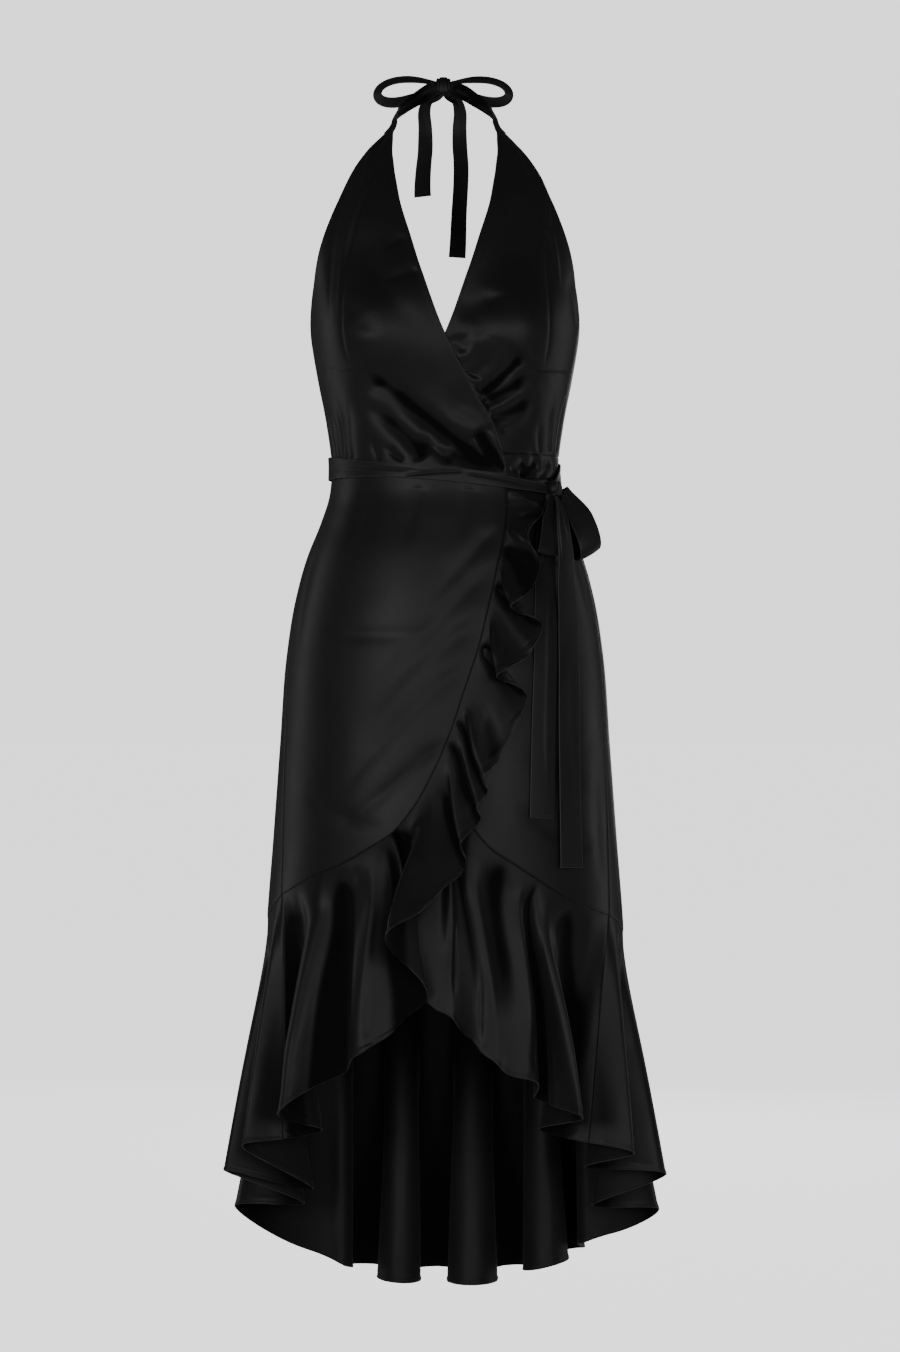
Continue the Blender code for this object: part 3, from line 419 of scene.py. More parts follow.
LEFT_FOLDS = table(FOLD_COLUMNS, [
    # The deep crescent under the bust and the lip that turns over it.
    (34.6, 0.3225, 16.5, 0.3722, -0.0048, 0.0110, 0.0115, -0.0090, 0.18, 0.08),
    (37.2, 0.3260, 15.2, 0.3748, -0.0104, 0.0028, 0.0050, 0.0022, 0.12, 0.06),
    (31.5, 0.3170, 17.0, 0.3600, -0.0030, 0.0060, 0.0100, 0.0012, 0.20, 0.20),
    # The valleys below it.
    (42.5, 0.3480, 17.6, 0.3822, -0.0004, 0.0120, 0.0100, -0.0066, 0.35, 0.05),
    (46.0, 0.3590, 20.0, 0.3905, -0.0010, 0.0070, 0.0060, 0.0012, 0.30, 0.10),
    (47.5, 0.3690, 22.0, 0.3972, -0.0029, 0.0120, 0.0110, -0.0056, 0.40, 0.05),
    (44.0, 0.3900, 26.0, 0.4130, -0.0020, 0.0080, 0.0060, -0.0016, 0.40, 0.20),
    # The valleys above it, against the wrap's edge.
    (2.6, 0.3060, 9.2, 0.3320, -0.0020, 0.0080, 0.0060, -0.0026, 0.35, 0.40),
    (24.0, 0.3150, 11.6, 0.3550, -0.0010, 0.0120, 0.0120, -0.0034, 0.50, 0.12),
    (17.0, 0.3000, 5.0, 0.3380, -0.0010, 0.0080, 0.0080, 0.0016, 0.40, 0.30),
    # The broad soft hollows and swells down the breast.
    (30.0, 0.1150, 9.0, 0.2650, 0.0060, 0.0150, 0.0150, 0.0024, 0.40, 0.40),
    (40.0, 0.1300, 27.0, 0.2700, 0.0050, 0.0180, 0.0160, -0.0028, 0.40, 0.40),
    (4.0, 0.2920, 27.0, 0.2600, -0.0040, 0.0130, 0.0120, -0.0030, 0.35, 0.40),
    # The puckers in the band beside the knot.
    (57.0, 0.4420, 40.5, 0.4620, -0.0010, 0.0075, 0.0085, -0.0056, 0.25, 0.10),
    (47.0, 0.4410, 35.0, 0.4560, -0.0010, 0.0065, 0.0070, -0.0040, 0.30, 0.10),
    (67.0, 0.4400, 56.0, 0.4640, -0.0010, 0.0065, 0.0070, -0.0036, 0.30, 0.10),
    # The dart, the seams that shape the cup, and slight strains beside them.
    (70.0, 0.3434, 38.6, 0.3442, 0.0000, 0.0011, 0.0011, -0.0011, 0.03, 0.04),
    (68.0, 0.3464, 39.0, 0.3470, 0.0000, 0.0030, 0.0020, 0.0005, 0.20, 0.20),
    (44.8, 0.1276, 45.5, 0.3430, 0.0030, 0.0030, 0.0016, -0.0008, 0.10, 0.10),
    (54.0, 0.0780, 45.0, 0.1276, 0.0030, 0.0040, 0.0040, -0.0013, 0.20, 0.30),
    (54.2, 0.1026, 46.5, 0.1909, 0.0010, 0.0030, 0.0030, 0.0011, 0.30, 0.20),
    (46.6, 0.1750, 51.5, 0.2528, -0.0010, 0.0026, 0.0034, 0.0013, 0.20, 0.40),
    (37.3, 0.0860, 28.0, 0.1878, 0.0040, 0.0050, 0.0050, 0.0011, 0.30, 0.40),
    (60.0, 0.3560, 67.0, 0.4340, 0.0030, 0.0060, 0.0060, -0.0018, 0.50, 0.08),
    (72.0, 0.3600, 76.0, 0.4330, -0.0010, 0.0050, 0.0050, -0.0014, 0.50, 0.08),
    (51.0, 0.3950, 55.0, 0.4350, 0.0010, 0.0050, 0.0040, -0.0012, 0.50, 0.08),
    (59.0, 0.2300, 68.0, 0.3000, 0.0010, 0.0060, 0.0060, -0.0016, 0.30, 0.30),
])
BACK_BODICE_FOLDS = table(FOLD_COLUMNS, [
    (104.0, 0.3400, 112.0, 0.4330, 0.0010, 0.0060, 0.0060, -0.0016, 0.50, 0.10),
    (122.0, 0.3700, 128.0, 0.4340, 0.0020, 0.0050, 0.0070, -0.0013, 0.50, 0.10),
    (150.0, 0.3800, 153.0, 0.4340, 0.0010, 0.0060, 0.0050, -0.0011, 0.50, 0.10),
    (178.0, 0.3900, 176.0, 0.4340, 0.0010, 0.0070, 0.0060, -0.0010, 0.50, 0.10),
    (206.0, 0.3750, 202.0, 0.4340, 0.0010, 0.0050, 0.0060, -0.0012, 0.50, 0.10),
    (232.0, 0.3700, 227.0, 0.4340, 0.0010, 0.0060, 0.0060, -0.0014, 0.50, 0.10),
    (254.0, 0.3450, 246.0, 0.4330, 0.0010, 0.0060, 0.0060, -0.0015, 0.50, 0.10),
    (120.0, 0.3600, 238.0, 0.3720, 0.0060, 0.0100, 0.0100, -0.0016, 0.40, 0.40),
])
OVER_SKIRT_FOLDS = table(FOLD_COLUMNS, [
    (21.0, 0.5557, -28.0, 0.7200, 0.0060, 0.0090, 0.0110, -0.0021, 0.20, 0.50),
    (15.8, 0.6113, -32.0, 0.7700, 0.0070, 0.0110, 0.0100, -0.0022, 0.20, 0.50),
    (10.9, 0.6610, -40.0, 0.8300, 0.0060, 0.0090, 0.0120, -0.0021, 0.20, 0.50),
    (25.0, 0.5150, -10.0, 0.6200, 0.0040, 0.0070, 0.0090, -0.0018, 0.20, 0.50),
    (1.0, 0.7500, -40.0, 0.8600, -0.0040, 0.0080, 0.0080, -0.0018, 0.20, 0.50),
    (-52.0, 0.6300, -5.0, 0.6350, 0.0060, 0.0100, 0.0120, -0.0018, 0.40, 0.40),
    (-19.0, 0.8559, -56.0, 0.8115, -0.0040, 0.0060, 0.0090, -0.0016, 0.30, 0.40),
    (-70.0, 0.5200, -66.0, 0.6600, 0.0040, 0.0120, 0.0100, -0.0016, 0.30, 0.50),
    (-40.0, 0.4700, -43.0, 0.5600, 0.0020, 0.0080, 0.0090, -0.0014, 0.10, 0.60),
    (-12.0, 0.4700, -16.0, 0.5500, 0.0010, 0.0060, 0.0080, -0.0013, 0.10, 0.60),
    (12.0, 0.4720, 6.0, 0.5400, -0.0010, 0.0060, 0.0060, -0.0014, 0.10, 0.60),
])
UNDER_SKIRT_FOLDS = table(FOLD_COLUMNS, [
    (60.0, 0.5000, 54.0, 0.6400, 0.0040, 0.0100, 0.0080, -0.0018, 0.20, 0.50),
    (74.0, 0.5000, 70.0, 0.6300, 0.0020, 0.0090, 0.0100, -0.0018, 0.20, 0.50),
    (30.0, 0.7600, 62.0, 0.8200, 0.0060, 0.0110, 0.0110, -0.0018, 0.30, 0.50),
    (24.0, 0.8200, 58.0, 0.8900, 0.0040, 0.0090, 0.0100, -0.0018, 0.30, 0.50),
    (38.0, 0.9000, 60.0, 0.8650, -0.0030, 0.0060, 0.0080, -0.0015, 0.30, 0.40),
    (66.0, 0.7600, 62.0, 0.9200, 0.0030, 0.0080, 0.0080, -0.0016, 0.40, 0.30),
])
BACK_SKIRT_FOLDS = table(FOLD_COLUMNS, [
    (112.0, 0.4680, 118.0, 0.6000, 0.0030, 0.0090, 0.0080, -0.0015, 0.08, 0.60),
    (136.0, 0.4680, 138.0, 0.5700, 0.0010, 0.0070, 0.0090, -0.0012, 0.08, 0.60),
    (160.0, 0.4680, 158.0, 0.6100, 0.0030, 0.0090, 0.0070, -0.0013, 0.08, 0.60),
    (181.0, 0.4680, 183.0, 0.5600, 0.0010, 0.0070, 0.0080, -0.0010, 0.08, 0.60),
    (203.0, 0.4680, 206.0, 0.6000, 0.0020, 0.0070, 0.0100, -0.0013, 0.08, 0.60),
    (226.0, 0.4680, 222.0, 0.5800, 0.0010, 0.0080, 0.0080, -0.0012, 0.08, 0.60),
    (250.0, 0.4680, 243.0, 0.6100, 0.0020, 0.0090, 0.0080, -0.0014, 0.08, 0.60),
    (130.0, 0.7400, 190.0, 0.7900, 0.0100, 0.0150, 0.0150, -0.0022, 0.40, 0.40),
    (232.0, 0.7100, 172.0, 0.7600, 0.0090, 0.0150, 0.0130, -0.0020, 0.40, 0.40),
    (120.0, 0.8400, 176.0, 0.9200, 0.0080, 0.0130, 0.0150, -0.0020, 0.40, 0.40),
    (240.0, 0.8200, 190.0, 0.8800, 0.0080, 0.0120, 0.0150, -0.0018, 0.40, 0.40),
    (150.0, 0.9300, 156.0, 1.0150, 0.0030, 0.0090, 0.0090, -0.0016, 0.50, 0.10),
    (206.0, 0.9200, 202.0, 1.0100, 0.0030, 0.0090, 0.0090, -0.0016, 0.50, 0.10),
])

# The flounces' own creases, placed by the row of the fold table and the share of the way down.
FLUTE_WIDTH = 0.030  # turns rows into lengths along the hem
FLUTE_FALL = 0.22  # turns shares of the way down into lengths
FLOUNCE_COLUMNS = "row down end_row end_down bow above below height coming going"
OVER_FLOUNCE_FOLDS = table(FLOUNCE_COLUMNS, [
    (4.0, 0.04, 3.9, 0.85, 0.0010, 0.0090, 0.0080, 0.0025, 0.35, 0.35),
    (5.6, 0.00, 5.3, 0.92, 0.0020, 0.0130, 0.0090, -0.0044, 0.16, 0.30),
    (7.1, 0.04, 7.0, 0.90, 0.0010, 0.0090, 0.0080, 0.0032, 0.35, 0.35),
    (9.0, 0.00, 9.3, 0.95, 0.0010, 0.0140, 0.0110, -0.0046, 0.16, 0.40),
    (11.9, 0.04, 12.0, 0.90, 0.0020, 0.0100, 0.0090, 0.0030, 0.35, 0.35),
    (14.0, 0.00, 14.4, 0.95, 0.0010, 0.0140, 0.0100, -0.0048, 0.16, 0.40),
    (16.9, 0.04, 17.0, 0.85, 0.0010, 0.0090, 0.0090, 0.0030, 0.35, 0.40),
    (18.2, 0.00, 18.2, 0.80, 0.0010, 0.0080, 0.0080, -0.0036, 0.16, 0.40),
    (20.1, 0.00, 20.2, 0.80, 0.0010, 0.0080, 0.0080, -0.0036, 0.16, 0.40),
    (22.6, 0.12, 22.2, 0.85, 0.0010, 0.0120, 0.0100, -0.0026, 0.40, 0.40),
    (2.6, 0.30, 2.3, 0.97, 0.0010, 0.0050, 0.0060, -0.0022, 0.40, 0.20),
    (8.0, 0.35, 8.2, 0.97, 0.0010, 0.0040, 0.0060, -0.0022, 0.40, 0.20),
    (12.9, 0.25, 13.1, 0.97, 0.0010, 0.0050, 0.0060, -0.0024, 0.40, 0.20),
    (15.6, 0.35, 15.8, 0.97, 0.0010, 0.0060, 0.0040, -0.0026, 0.40, 0.20),
    (19.2, 0.30, 19.2, 0.97, 0.0010, 0.0050, 0.0040, -0.0020, 0.40, 0.20),
    (24.4, 0.40, 24.0, 0.96, 0.0010, 0.0040, 0.0060, -0.0020, 0.50, 0.20),
    (24.8, 0.60, 25.0, 0.97, 0.0010, 0.0030, 0.0040, 0.0014, 0.50, 0.20),
    (26.7, 0.00, 26.7, 0.85, 0.0010, 0.0120, 0.0110, -0.0036, 0.16, 0.40),
    (27.6, 0.04, 27.4, 0.96, 0.0010, 0.0100, 0.0100, 0.0025, 0.35, 0.30),
    (28.5, 0.00, 28.6, 0.85, 0.0010, 0.0160, 0.0150, -0.0050, 0.16, 0.50),
    (29.4, 0.55, 29.6, 0.97, -0.0010, 0.0040, 0.0040, -0.0018, 0.60, 0.20),
    (30.4, 0.03, 30.2, 0.50, 0.0010, 0.0070, 0.0070, -0.0016, 0.15, 0.50),
    (29.7, 0.04, 29.8, 0.90, 0.0010, 0.0090, 0.0090, 0.0023, 0.35, 0.40),
    (31.1, 0.00, 31.1, 1.06, 0.0000, 0.0150, 0.0120, -0.0090, 0.16, 0.04),
    (31.9, 0.04, 31.9, 0.96, 0.0010, 0.0090, 0.0090, 0.0027, 0.35, 0.30),
    (33.4, 0.04, 33.4, 0.95, 0.0010, 0.0090, 0.0090, 0.0023, 0.35, 0.30),
    (32.6, 0.00, 32.5, 0.95, 0.0010, 0.0120, 0.0110, -0.0060, 0.16, 0.40),
    (32.4, 0.60, 32.1, 0.98, 0.0010, 0.0030, 0.0040, -0.0012, 0.60, 0.20),
])
UNDER_FLOUNCE_FOLDS = table(FLOUNCE_COLUMNS, [
    (1.4, 0.00, 1.5, 0.80, 0.0010, 0.0090, 0.0090, -0.0034, 0.16, 0.40),
    (2.0, 0.04, 2.1, 0.90, 0.0010, 0.0090, 0.0090, 0.0021, 0.35, 0.30),
    (2.4, 0.50, 2.3, 0.90, 0.0010, 0.0030, 0.0045, -0.0030, 0.50, 0.30),
    (3.3, 0.00, 3.4, 0.85, 0.0010, 0.0100, 0.0090, -0.0038, 0.16, 0.50),
    (4.2, 0.04, 4.2, 0.90, 0.0010, 0.0090, 0.0090, 0.0023, 0.35, 0.40),
    (3.9, 0.55, 3.7, 0.97, 0.0010, 0.0030, 0.0040, -0.0014, 0.60, 0.20),
    (5.0, 0.00, 4.9, 0.80, 0.0010, 0.0150, 0.0140, -0.0045, 0.16, 0.50),
    (6.1, 0.04, 6.0, 0.96, 0.0010, 0.0100, 0.0100, 0.0029, 0.35, 0.30),
    (8.4, 0.04, 8.4, 0.96, 0.0010, 0.0110, 0.0110, 0.0025, 0.35, 0.30),
    (10.3, 0.04, 10.3, 0.90, 0.0010, 0.0090, 0.0090, 0.0021, 0.35, 0.30),
    (7.2, 0.00, 7.0, 1.06, 0.0000, 0.0170, 0.0120, -0.0090, 0.16, 0.04),
    (6.2, 0.60, 6.0, 0.97, 0.0010, 0.0030, 0.0045, -0.0024, 0.50, 0.20),
    (9.6, 0.00, 9.7, 0.97, 0.0010, 0.0130, 0.0120, -0.0070, 0.16, 0.40),
    (9.4, 0.55, 9.2, 0.97, 0.0010, 0.0040, 0.0040, -0.0014, 0.50, 0.20),
])
BACK_FLOUNCE_FOLDS = table(FLOUNCE_COLUMNS, [
    (2.4, 0.00, 2.5, 0.55, 0.0010, 0.0070, 0.0060, -0.0020, 0.12, 0.50),
    (4.5, 0.00, 4.4, 0.60, 0.0010, 0.0070, 0.0060, -0.0020, 0.12, 0.50),
    (6.5, 0.00, 6.4, 0.45, 0.0010, 0.0090, 0.0070, -0.0020, 0.12, 0.60),
    (8.4, 0.00, 8.5, 0.50, 0.0010, 0.0070, 0.0070, -0.0024, 0.12, 0.60),
    (10.6, 0.03, 10.4, 0.97, 0.0010, 0.0060, 0.0080, -0.0014, 0.20, 0.20),
    (12.5, 0.00, 12.6, 0.45, 0.0010, 0.0080, 0.0070, -0.0024, 0.12, 0.60),
    (14.6, 0.50, 14.4, 0.98, 0.0010, 0.0060, 0.0080, -0.0012, 0.50, 0.20),
    (16.4, 0.00, 16.5, 0.50, 0.0010, 0.0070, 0.0080, -0.0024, 0.12, 0.60),
    (18.4, 0.55, 18.6, 0.98, 0.0010, 0.0060, 0.0060, -0.0012, 0.50, 0.20),
    (20.6, 0.00, 20.4, 0.45, 0.0010, 0.0080, 0.0060, -0.0026, 0.12, 0.60),
    (22.4, 0.45, 22.6, 0.98, 0.0010, 0.0060, 0.0070, -0.0014, 0.50, 0.20),
    (24.4, 0.50, 24.5, 0.97, 0.0010, 0.0060, 0.0050, -0.0018, 0.50, 0.20),
    (26.5, 0.00, 26.4, 0.55, 0.0010, 0.0070, 0.0060, -0.0020, 0.12, 0.50),
])

# The creases of the sash and its ends, placed in metres along the band and across it.
BAND_COLUMNS = "along across end_along end_across bow above below height coming going"
SASH_FOLDS = table(BAND_COLUMNS, [
    (0.104, 0.0050, 0.172, -0.0060, 0.0006, 0.0016, 0.0030, -0.0011, 0.10, 0.10),
    (0.000, -0.0012, 0.110, 0.0026, 0.0004, 0.0018, 0.0014, -0.0009, 0.05, 0.20),
    (0.000, 0.0020, 0.070, 0.0048, 0.0004, 0.0012, 0.0014, -0.0007, 0.05, 0.30),
    (0.150, 0.0010, 0.255, 0.0030, -0.0006, 0.0022, 0.0016, -0.0008, 0.20, 0.30),
    (0.200, -0.0040, 0.300, -0.0020, 0.0008, 0.0020, 0.0020, -0.0007, 0.20, 0.30),
    (0.330, 0.0040, 0.480, -0.0020, 0.0010, 0.0030, 0.0020, -0.0007, 0.20, 0.30),
    (0.500, -0.0030, 0.620, 0.0040, 0.0010, 0.0025, 0.0025, -0.0007, 0.20, 0.20),
    (0.640, 0.0020, 0.780, -0.0010, 0.0006, 0.0018, 0.0018, -0.0009, 0.20, 0.05),
])
LONG_TAIL_FOLDS = table(BAND_COLUMNS, [
    (0.000, 0.0010, 0.090, 0.0060, 0.0010, 0.0022, 0.0018, -0.0010, 0.05, 0.40),
    (0.000, -0.0020, 0.060, -0.0060, 0.0010, 0.0018, 0.0018, -0.0008, 0.05, 0.40),
    (0.180, -0.0030, 0.330, -0.0060, 0.0020, 0.0060, 0.0060, -0.0006, 0.40, 0.40),
])
SHORT_TAIL_FOLDS = table(BAND_COLUMNS, [
    (0.000, 0.0000, 0.090, 0.0040, 0.0010, 0.0022, 0.0018, -0.0010, 0.05, 0.40),
    (0.100, -0.0040, 0.340, -0.0060, 0.0020, 0.0040, 0.0030, 0.0006, 0.30, 0.30),
])
NECK_TAIL_FOLDS = table(BAND_COLUMNS, [
    (0.000, 0.0000, 0.030, 0.0010, 0.0005, 0.0014, 0.0014, -0.0008, 0.05, 0.50),
    (0.020, -0.0030, 0.110, 0.0010, 0.0020, 0.0025, 0.0025, 0.0005, 0.30, 0.30),
])
NECK_TIE_FOLDS = table(BAND_COLUMNS, [
    (0.002, 0.0000, 0.086, 0.0000, 0.0000, 0.0034, 0.0034, 0.0026, 0.25, 0.30),
    (0.070, 0.0010, 0.130, -0.0020, 0.0010, 0.0030, 0.0030, -0.0005, 0.30, 0.50),
    (0.080, 0.0020, 0.140, 0.0000, 0.0010, 0.0020, 0.0020, -0.0006, 0.40, 0.10),
])


def smooth(x):
    """Goes from 0 to 1 as x does, level at both ends: 3 x^2 - 2 x^3."""
    x = np.clip(x, 0.0, 1.0)
    return x * x * (3 - 2 * x)


def bell(x):
    """A soft bump: exp(-x^2)."""
    return np.exp(-x * x)


def cusp(x):
    """A dip with a narrow bottom and wide sides: exp(1.5 (b - sqrt(x^2 + b^2))), with b its
    bluntness."""
    return np.exp(1.5 * (CUSP_BLUNTNESS - np.sqrt(x * x + CUSP_BLUNTNESS * CUSP_BLUNTNESS)))


def through(knots, values, at, roundness=1.0):
    """A smooth curve through values at knots, read at the given places. It passes each knot at
    its mean slope there times the roundness."""
    slopes = np.gradient(values, knots, axis=0) * roundness
    i = np.clip(np.searchsorted(knots, at, side="right") - 1, 0, len(knots) - 2)
    step = knots[i + 1] - knots[i]
    t = (at - knots[i]) / step
    if np.ndim(values) > 1:
        step = step[..., None]
        t = t[..., None]
    start = (1 + 2 * t) * (1 - t) ** 2 * values[i] + t * (1 - t) ** 2 * step * slopes[i]
    end = t * t * (3 - 2 * t) * values[i + 1] + t * t * (t - 1) * step * slopes[i + 1]
    return start + end


def body(angle, drop, out):
    """Points on the body form: an ellipse at each level, with the cups' fullness in front.

    The angle is in degrees from the front centre towards +X, and out is the level distance
    from the form.
    """
    angle, drop, out = np.broadcast_arrays(np.radians(angle), drop, out)
    half_width, front, back = (
        through(BODY["drop"], BODY[name], np.minimum(drop, BODY["drop"][-1]))
        for name in ("half_width", "front", "back")
    )
    sin, cos = np.sin(angle), np.cos(angle)
    depth = np.where(cos > 0, front, back)
    across, forward = half_width * sin, depth * cos
    steep = np.hypot(sin / half_width, cos / depth)
    cups = bell((np.abs(across) - CUP_ACROSS) / CUP_WIDTH) * bell((drop - CUP_DROP) / CUP_HEIGHT)
    out = out + CUP_OUT * cups * smooth(cos / CUP_SIDE)
    return np.stack([
        across + out * sin / half_width / steep,
        BODY_AXIS_Y - forward - out * cos / depth / steep,
        -drop,
    ], axis=-1)


def shares_of(points):
    """How far along a polyline each of its points lies, as a share of its length."""
    length = np.cumsum(np.linalg.norm(np.diff(points, axis=0), axis=1))
    return np.concatenate([[0], length / length[-1]])


def along(line, shares, names=("angle", "drop")):
    """Columns of a table for a line on the body, read at shares of the line's length."""
    knots = shares_of(body(line["angle"], line["drop"], UNDER_OUT))
    return np.stack([through(knots, line[name], shares) for name in names], axis=-1)


def creased(x, y, folds, units, narrowing=0.0):
    """How far folds move the cloth out at places x, y in metres.

    With s the share of the way along a fold's line and a the distance aside from it, less the
    bow 4 s (1 - s), a ridge gives height bell(a / width) and a valley height cusp(a / width) on
    each side, with the width that its column says. Both fade at their ends, and get narrower
    on the way by the narrowing. The units turn the table's places into metres.
    """
    height = np.zeros(np.broadcast(x, y).shape)
    for row in np.stack(list(folds.values()), axis=-1):
        start, end = row[:4].reshape(2, 2) * units
        bow, above, below, most, coming, going = row[4:]
        length = np.linalg.norm(end - start)
        run = (end - start) / length
        share = ((x - start[0]) * run[0] + (y - start[1]) * run[1]) / length
        aside = (y - start[1]) * run[0] - (x - start[0]) * run[1] - bow * 4 * share * (1 - share)
        fade = smooth(share / coming) * smooth((1 - share) / going)
        taper = 1 + narrowing * (0.5 - np.clip(share, 0, 1))
        width = np.where(aside > 0, below, above) * (FADED_WIDTH + WIDENING * fade) * taper
        height += most * fade * (bell if most > 0 else cusp)(aside / width)
    return height


def creased_on_body(angle, drop, folds, narrowing=0.0):
    """The same on the body, where angles are lengths at the folds' radius."""
    return creased(np.radians(angle) * FOLD_RADIUS, drop, folds, (A_DEGREE, 1), narrowing)


def over_out(angle, drop):
    """The right front and its skirt lie on the left ones, and meet the back at the side."""
    lapped = smooth((angle - LAP_ANGLE) / LAP_TURN) * smooth((drop - LAP_DROP) / LAP_FALL)
    return UNDER_OUT + (OVER_OUT - UNDER_OUT) * lapped


def right_front_out(angle, drop):
    """The folds end where the sash holds them down."""
    sash_top = np.interp(angle, RIGHT_WAIST["angle"], RIGHT_WAIST["drop"]) - SASH_COVER
    held = smooth((sash_top - drop) / SASH_HOLD)
    return over_out(angle, drop) + held * creased_on_body(angle, drop, RIGHT_FOLDS, PLEAT_TAPER)


def left_front_out(angle, drop):
    """Where the right front covers it, the left one is pressed in beneath its pleats."""
    cover = -through(NECKLINE["drop"], NECKLINE["angle"], drop)
    inward = smooth((cover - COVERED_IN - angle) / COVERED_TURN)
    pressed = COVERED_DEPTH * inward * smooth((drop - COVERED_DROP) / COVERED_FALL)
    return UNDER_OUT - pressed + creased_on_body(angle, drop, LEFT_FOLDS, PLEAT_TAPER)


def lines(length, count):
    """Shares of a length: even ones, and close ones near its two finished ends. The length is
    about the real one in metres, so the close ones lie about where CLOSE_LINES says."""
    close = CLOSE_LINES / length
    even = np.linspace(close[-1], 1 - close[-1], count)
    return np.concatenate([close[:-1], even, 1 - close[-2::-1]])


def distances(points):
    """The way along a grid's lines to every point from its first row, last row, first column
    and last column."""
    found = []
    for axis in (0, 1):
        step = np.linalg.norm(np.diff(points, axis=axis), axis=-1)
        way = np.cumsum(step, axis=axis)
        way = np.insert(way, 0, 0.0, axis=axis)
        found += [way, way.take([-1], axis=axis) - way]
    return found


def normals_of(points):
    """The grid's normals: the cross product of its lines' directions, down by across."""
    normals = np.cross(np.gradient(points, axis=0), np.gradient(points, axis=1))
    return normals / np.maximum(np.linalg.norm(normals, axis=-1, keepdims=True), 1e-12)


def outward_of(points):
    """The normals, turned to point away from the body's axis on the whole."""
    normals = normals_of(points)
    away = points - (0.0, BODY_AXIS_Y, 0.0)
    return normals * np.sign((normals[..., :2] * away[..., :2]).sum())


def on_body(angle, drop, out, edges):
    """A panel on the body form, dipped by SEAM_DIP bell(d / SEAM_REACH) at a distance d from
    each edge that is a seam."""
    points = body(angle, drop, out)
    for kind, distance in zip(edges, distances(points)):
        if kind == "s":
            out = out - SEAM_DIP * bell(distance / SEAM_REACH)
    return body(angle, drop, out)


def patch(top, bottom, left, right, u, v):
    """Fills four edges: the sum of both blends between facing edges, less that of the corners."""
    u = u[None, :, None]
    v = v[:, None, None]
    level = (1 - v) * top[None] + v * bottom[None]
    upright = (1 - u) * left[:, None] + u * right[:, None]
    corners = (1 - v) * ((1 - u) * top[0] + u * top[-1]) + v * (
        (1 - u) * bottom[0] + u * bottom[-1]
    )
    return level + upright - corners


def front_bodice(side, waist, out_rule, edges, u, v):
    """Level rows from the neckline and wrap edge to the armhole and side seam.

    The side is -1 for the wearer's right front and 1 for the left one. Below the underarm the
    rows come to follow the waist, a table of angles and drops.
    """
    end = waist["drop"][-1]
    drop = HALTER_TOP + (end - HALTER_TOP) * v
    inner = through(NECKLINE["drop"], NECKLINE["angle"], drop)
    outer = np.where(
        drop < UNDERARM,
        through(ARMHOLE["drop"], ARMHOLE["angle"], np.minimum(drop, UNDERARM)),
        SIDE_ANGLE,
    )
    angle = side * (outer[:, None] + (inner - outer)[:, None] * u)
    below = np.maximum(drop - UNDERARM, 0)[:, None] / (end - UNDERARM)
    drop = drop[:, None] + below * (np.interp(angle, waist["angle"], waist["drop"]) - end)
    return on_body(angle, drop, out_rule(angle, drop), edges)


def edge_and_away(grid, sides):
    """The points of some sides of a grid in one run, and at each the way out of the panel."""
    normals = normals_of(grid)
    points = np.concatenate([grid[side] for side in sides])
    normals = np.concatenate([normals[side] for side in sides])
    away = np.cross(np.gradient(points, axis=0), normals)
    away /= np.linalg.norm(away, axis=1, keepdims=True)
    inside = grid[grid.shape[0] // 2, grid.shape[1] // 2]
    if ((points - inside) * away).sum() < 0:
        away = -away
    return points, away


def flounce(edge, away, folds, creases, per_fold, rows, first=FLOUNCE_END):
    """From a skirt's edge to the hem through its folds, with a number of columns for each.

    With d down a column from 0 to 1, the cloth lies at top + fall d + (start - fall) d (1 - d)^4,
    so it leaves the edge the way that the skirt's surface points. Creases move it along its
    normals, and so do the small waves that the hem's stitching draws into it.
    """
    marks = np.arange(len(folds["share"]), dtype=float)
    at = lines(FLUTE_WIDTH * marks[-1], int(marks[-1]) * per_fold) * marks[-1]
    share = np.interp(at, marks, folds["share"])
    across = through(marks, folds["across"], at, FLUTE_ROUNDNESS)
    forward = through(marks, folds["forward"], at, FLUTE_ROUNDNESS)
    hem = np.stack([across, BODY_AXIS_Y - forward, -through(marks, folds["drop"], at)], axis=-1)
    knots = shares_of(edge)
    top, start = (
        np.stack([np.interp(share, knots, values[:, axis]) for axis in range(3)], axis=-1)
        for values in (edge, away)
    )
    fall = hem - top
    length = np.linalg.norm(fall, axis=1, keepdims=True)
    leaving = smooth(share / first) * smooth((1 - share) / FLOUNCE_END)
    start = (start * length - fall) * leaving[:, None]
    down = lines(FLOUNCE_FALL, rows)[:, None, None]
    points = top + fall * down + start * down * (1 - down) ** 4
    height = creased(
        at[None, :] * FLUTE_WIDTH, down[..., 0] * FLUTE_FALL, creases, (FLUTE_WIDTH, FLUTE_FALL)
    )
    _, to_hem, run, _ = distances(points)
    drawn = sum(np.sin(run / wave + turn) for wave, turn in HEM_WAVES)
    drawn = HEM_WAVE_HEIGHT * drawn * bell(to_hem / HEM_WAVE_REACH)
    height = height + drawn * smooth(length[:, 0] / WAVELESS_FALL)
    return points + outward_of(points) * height[..., None]


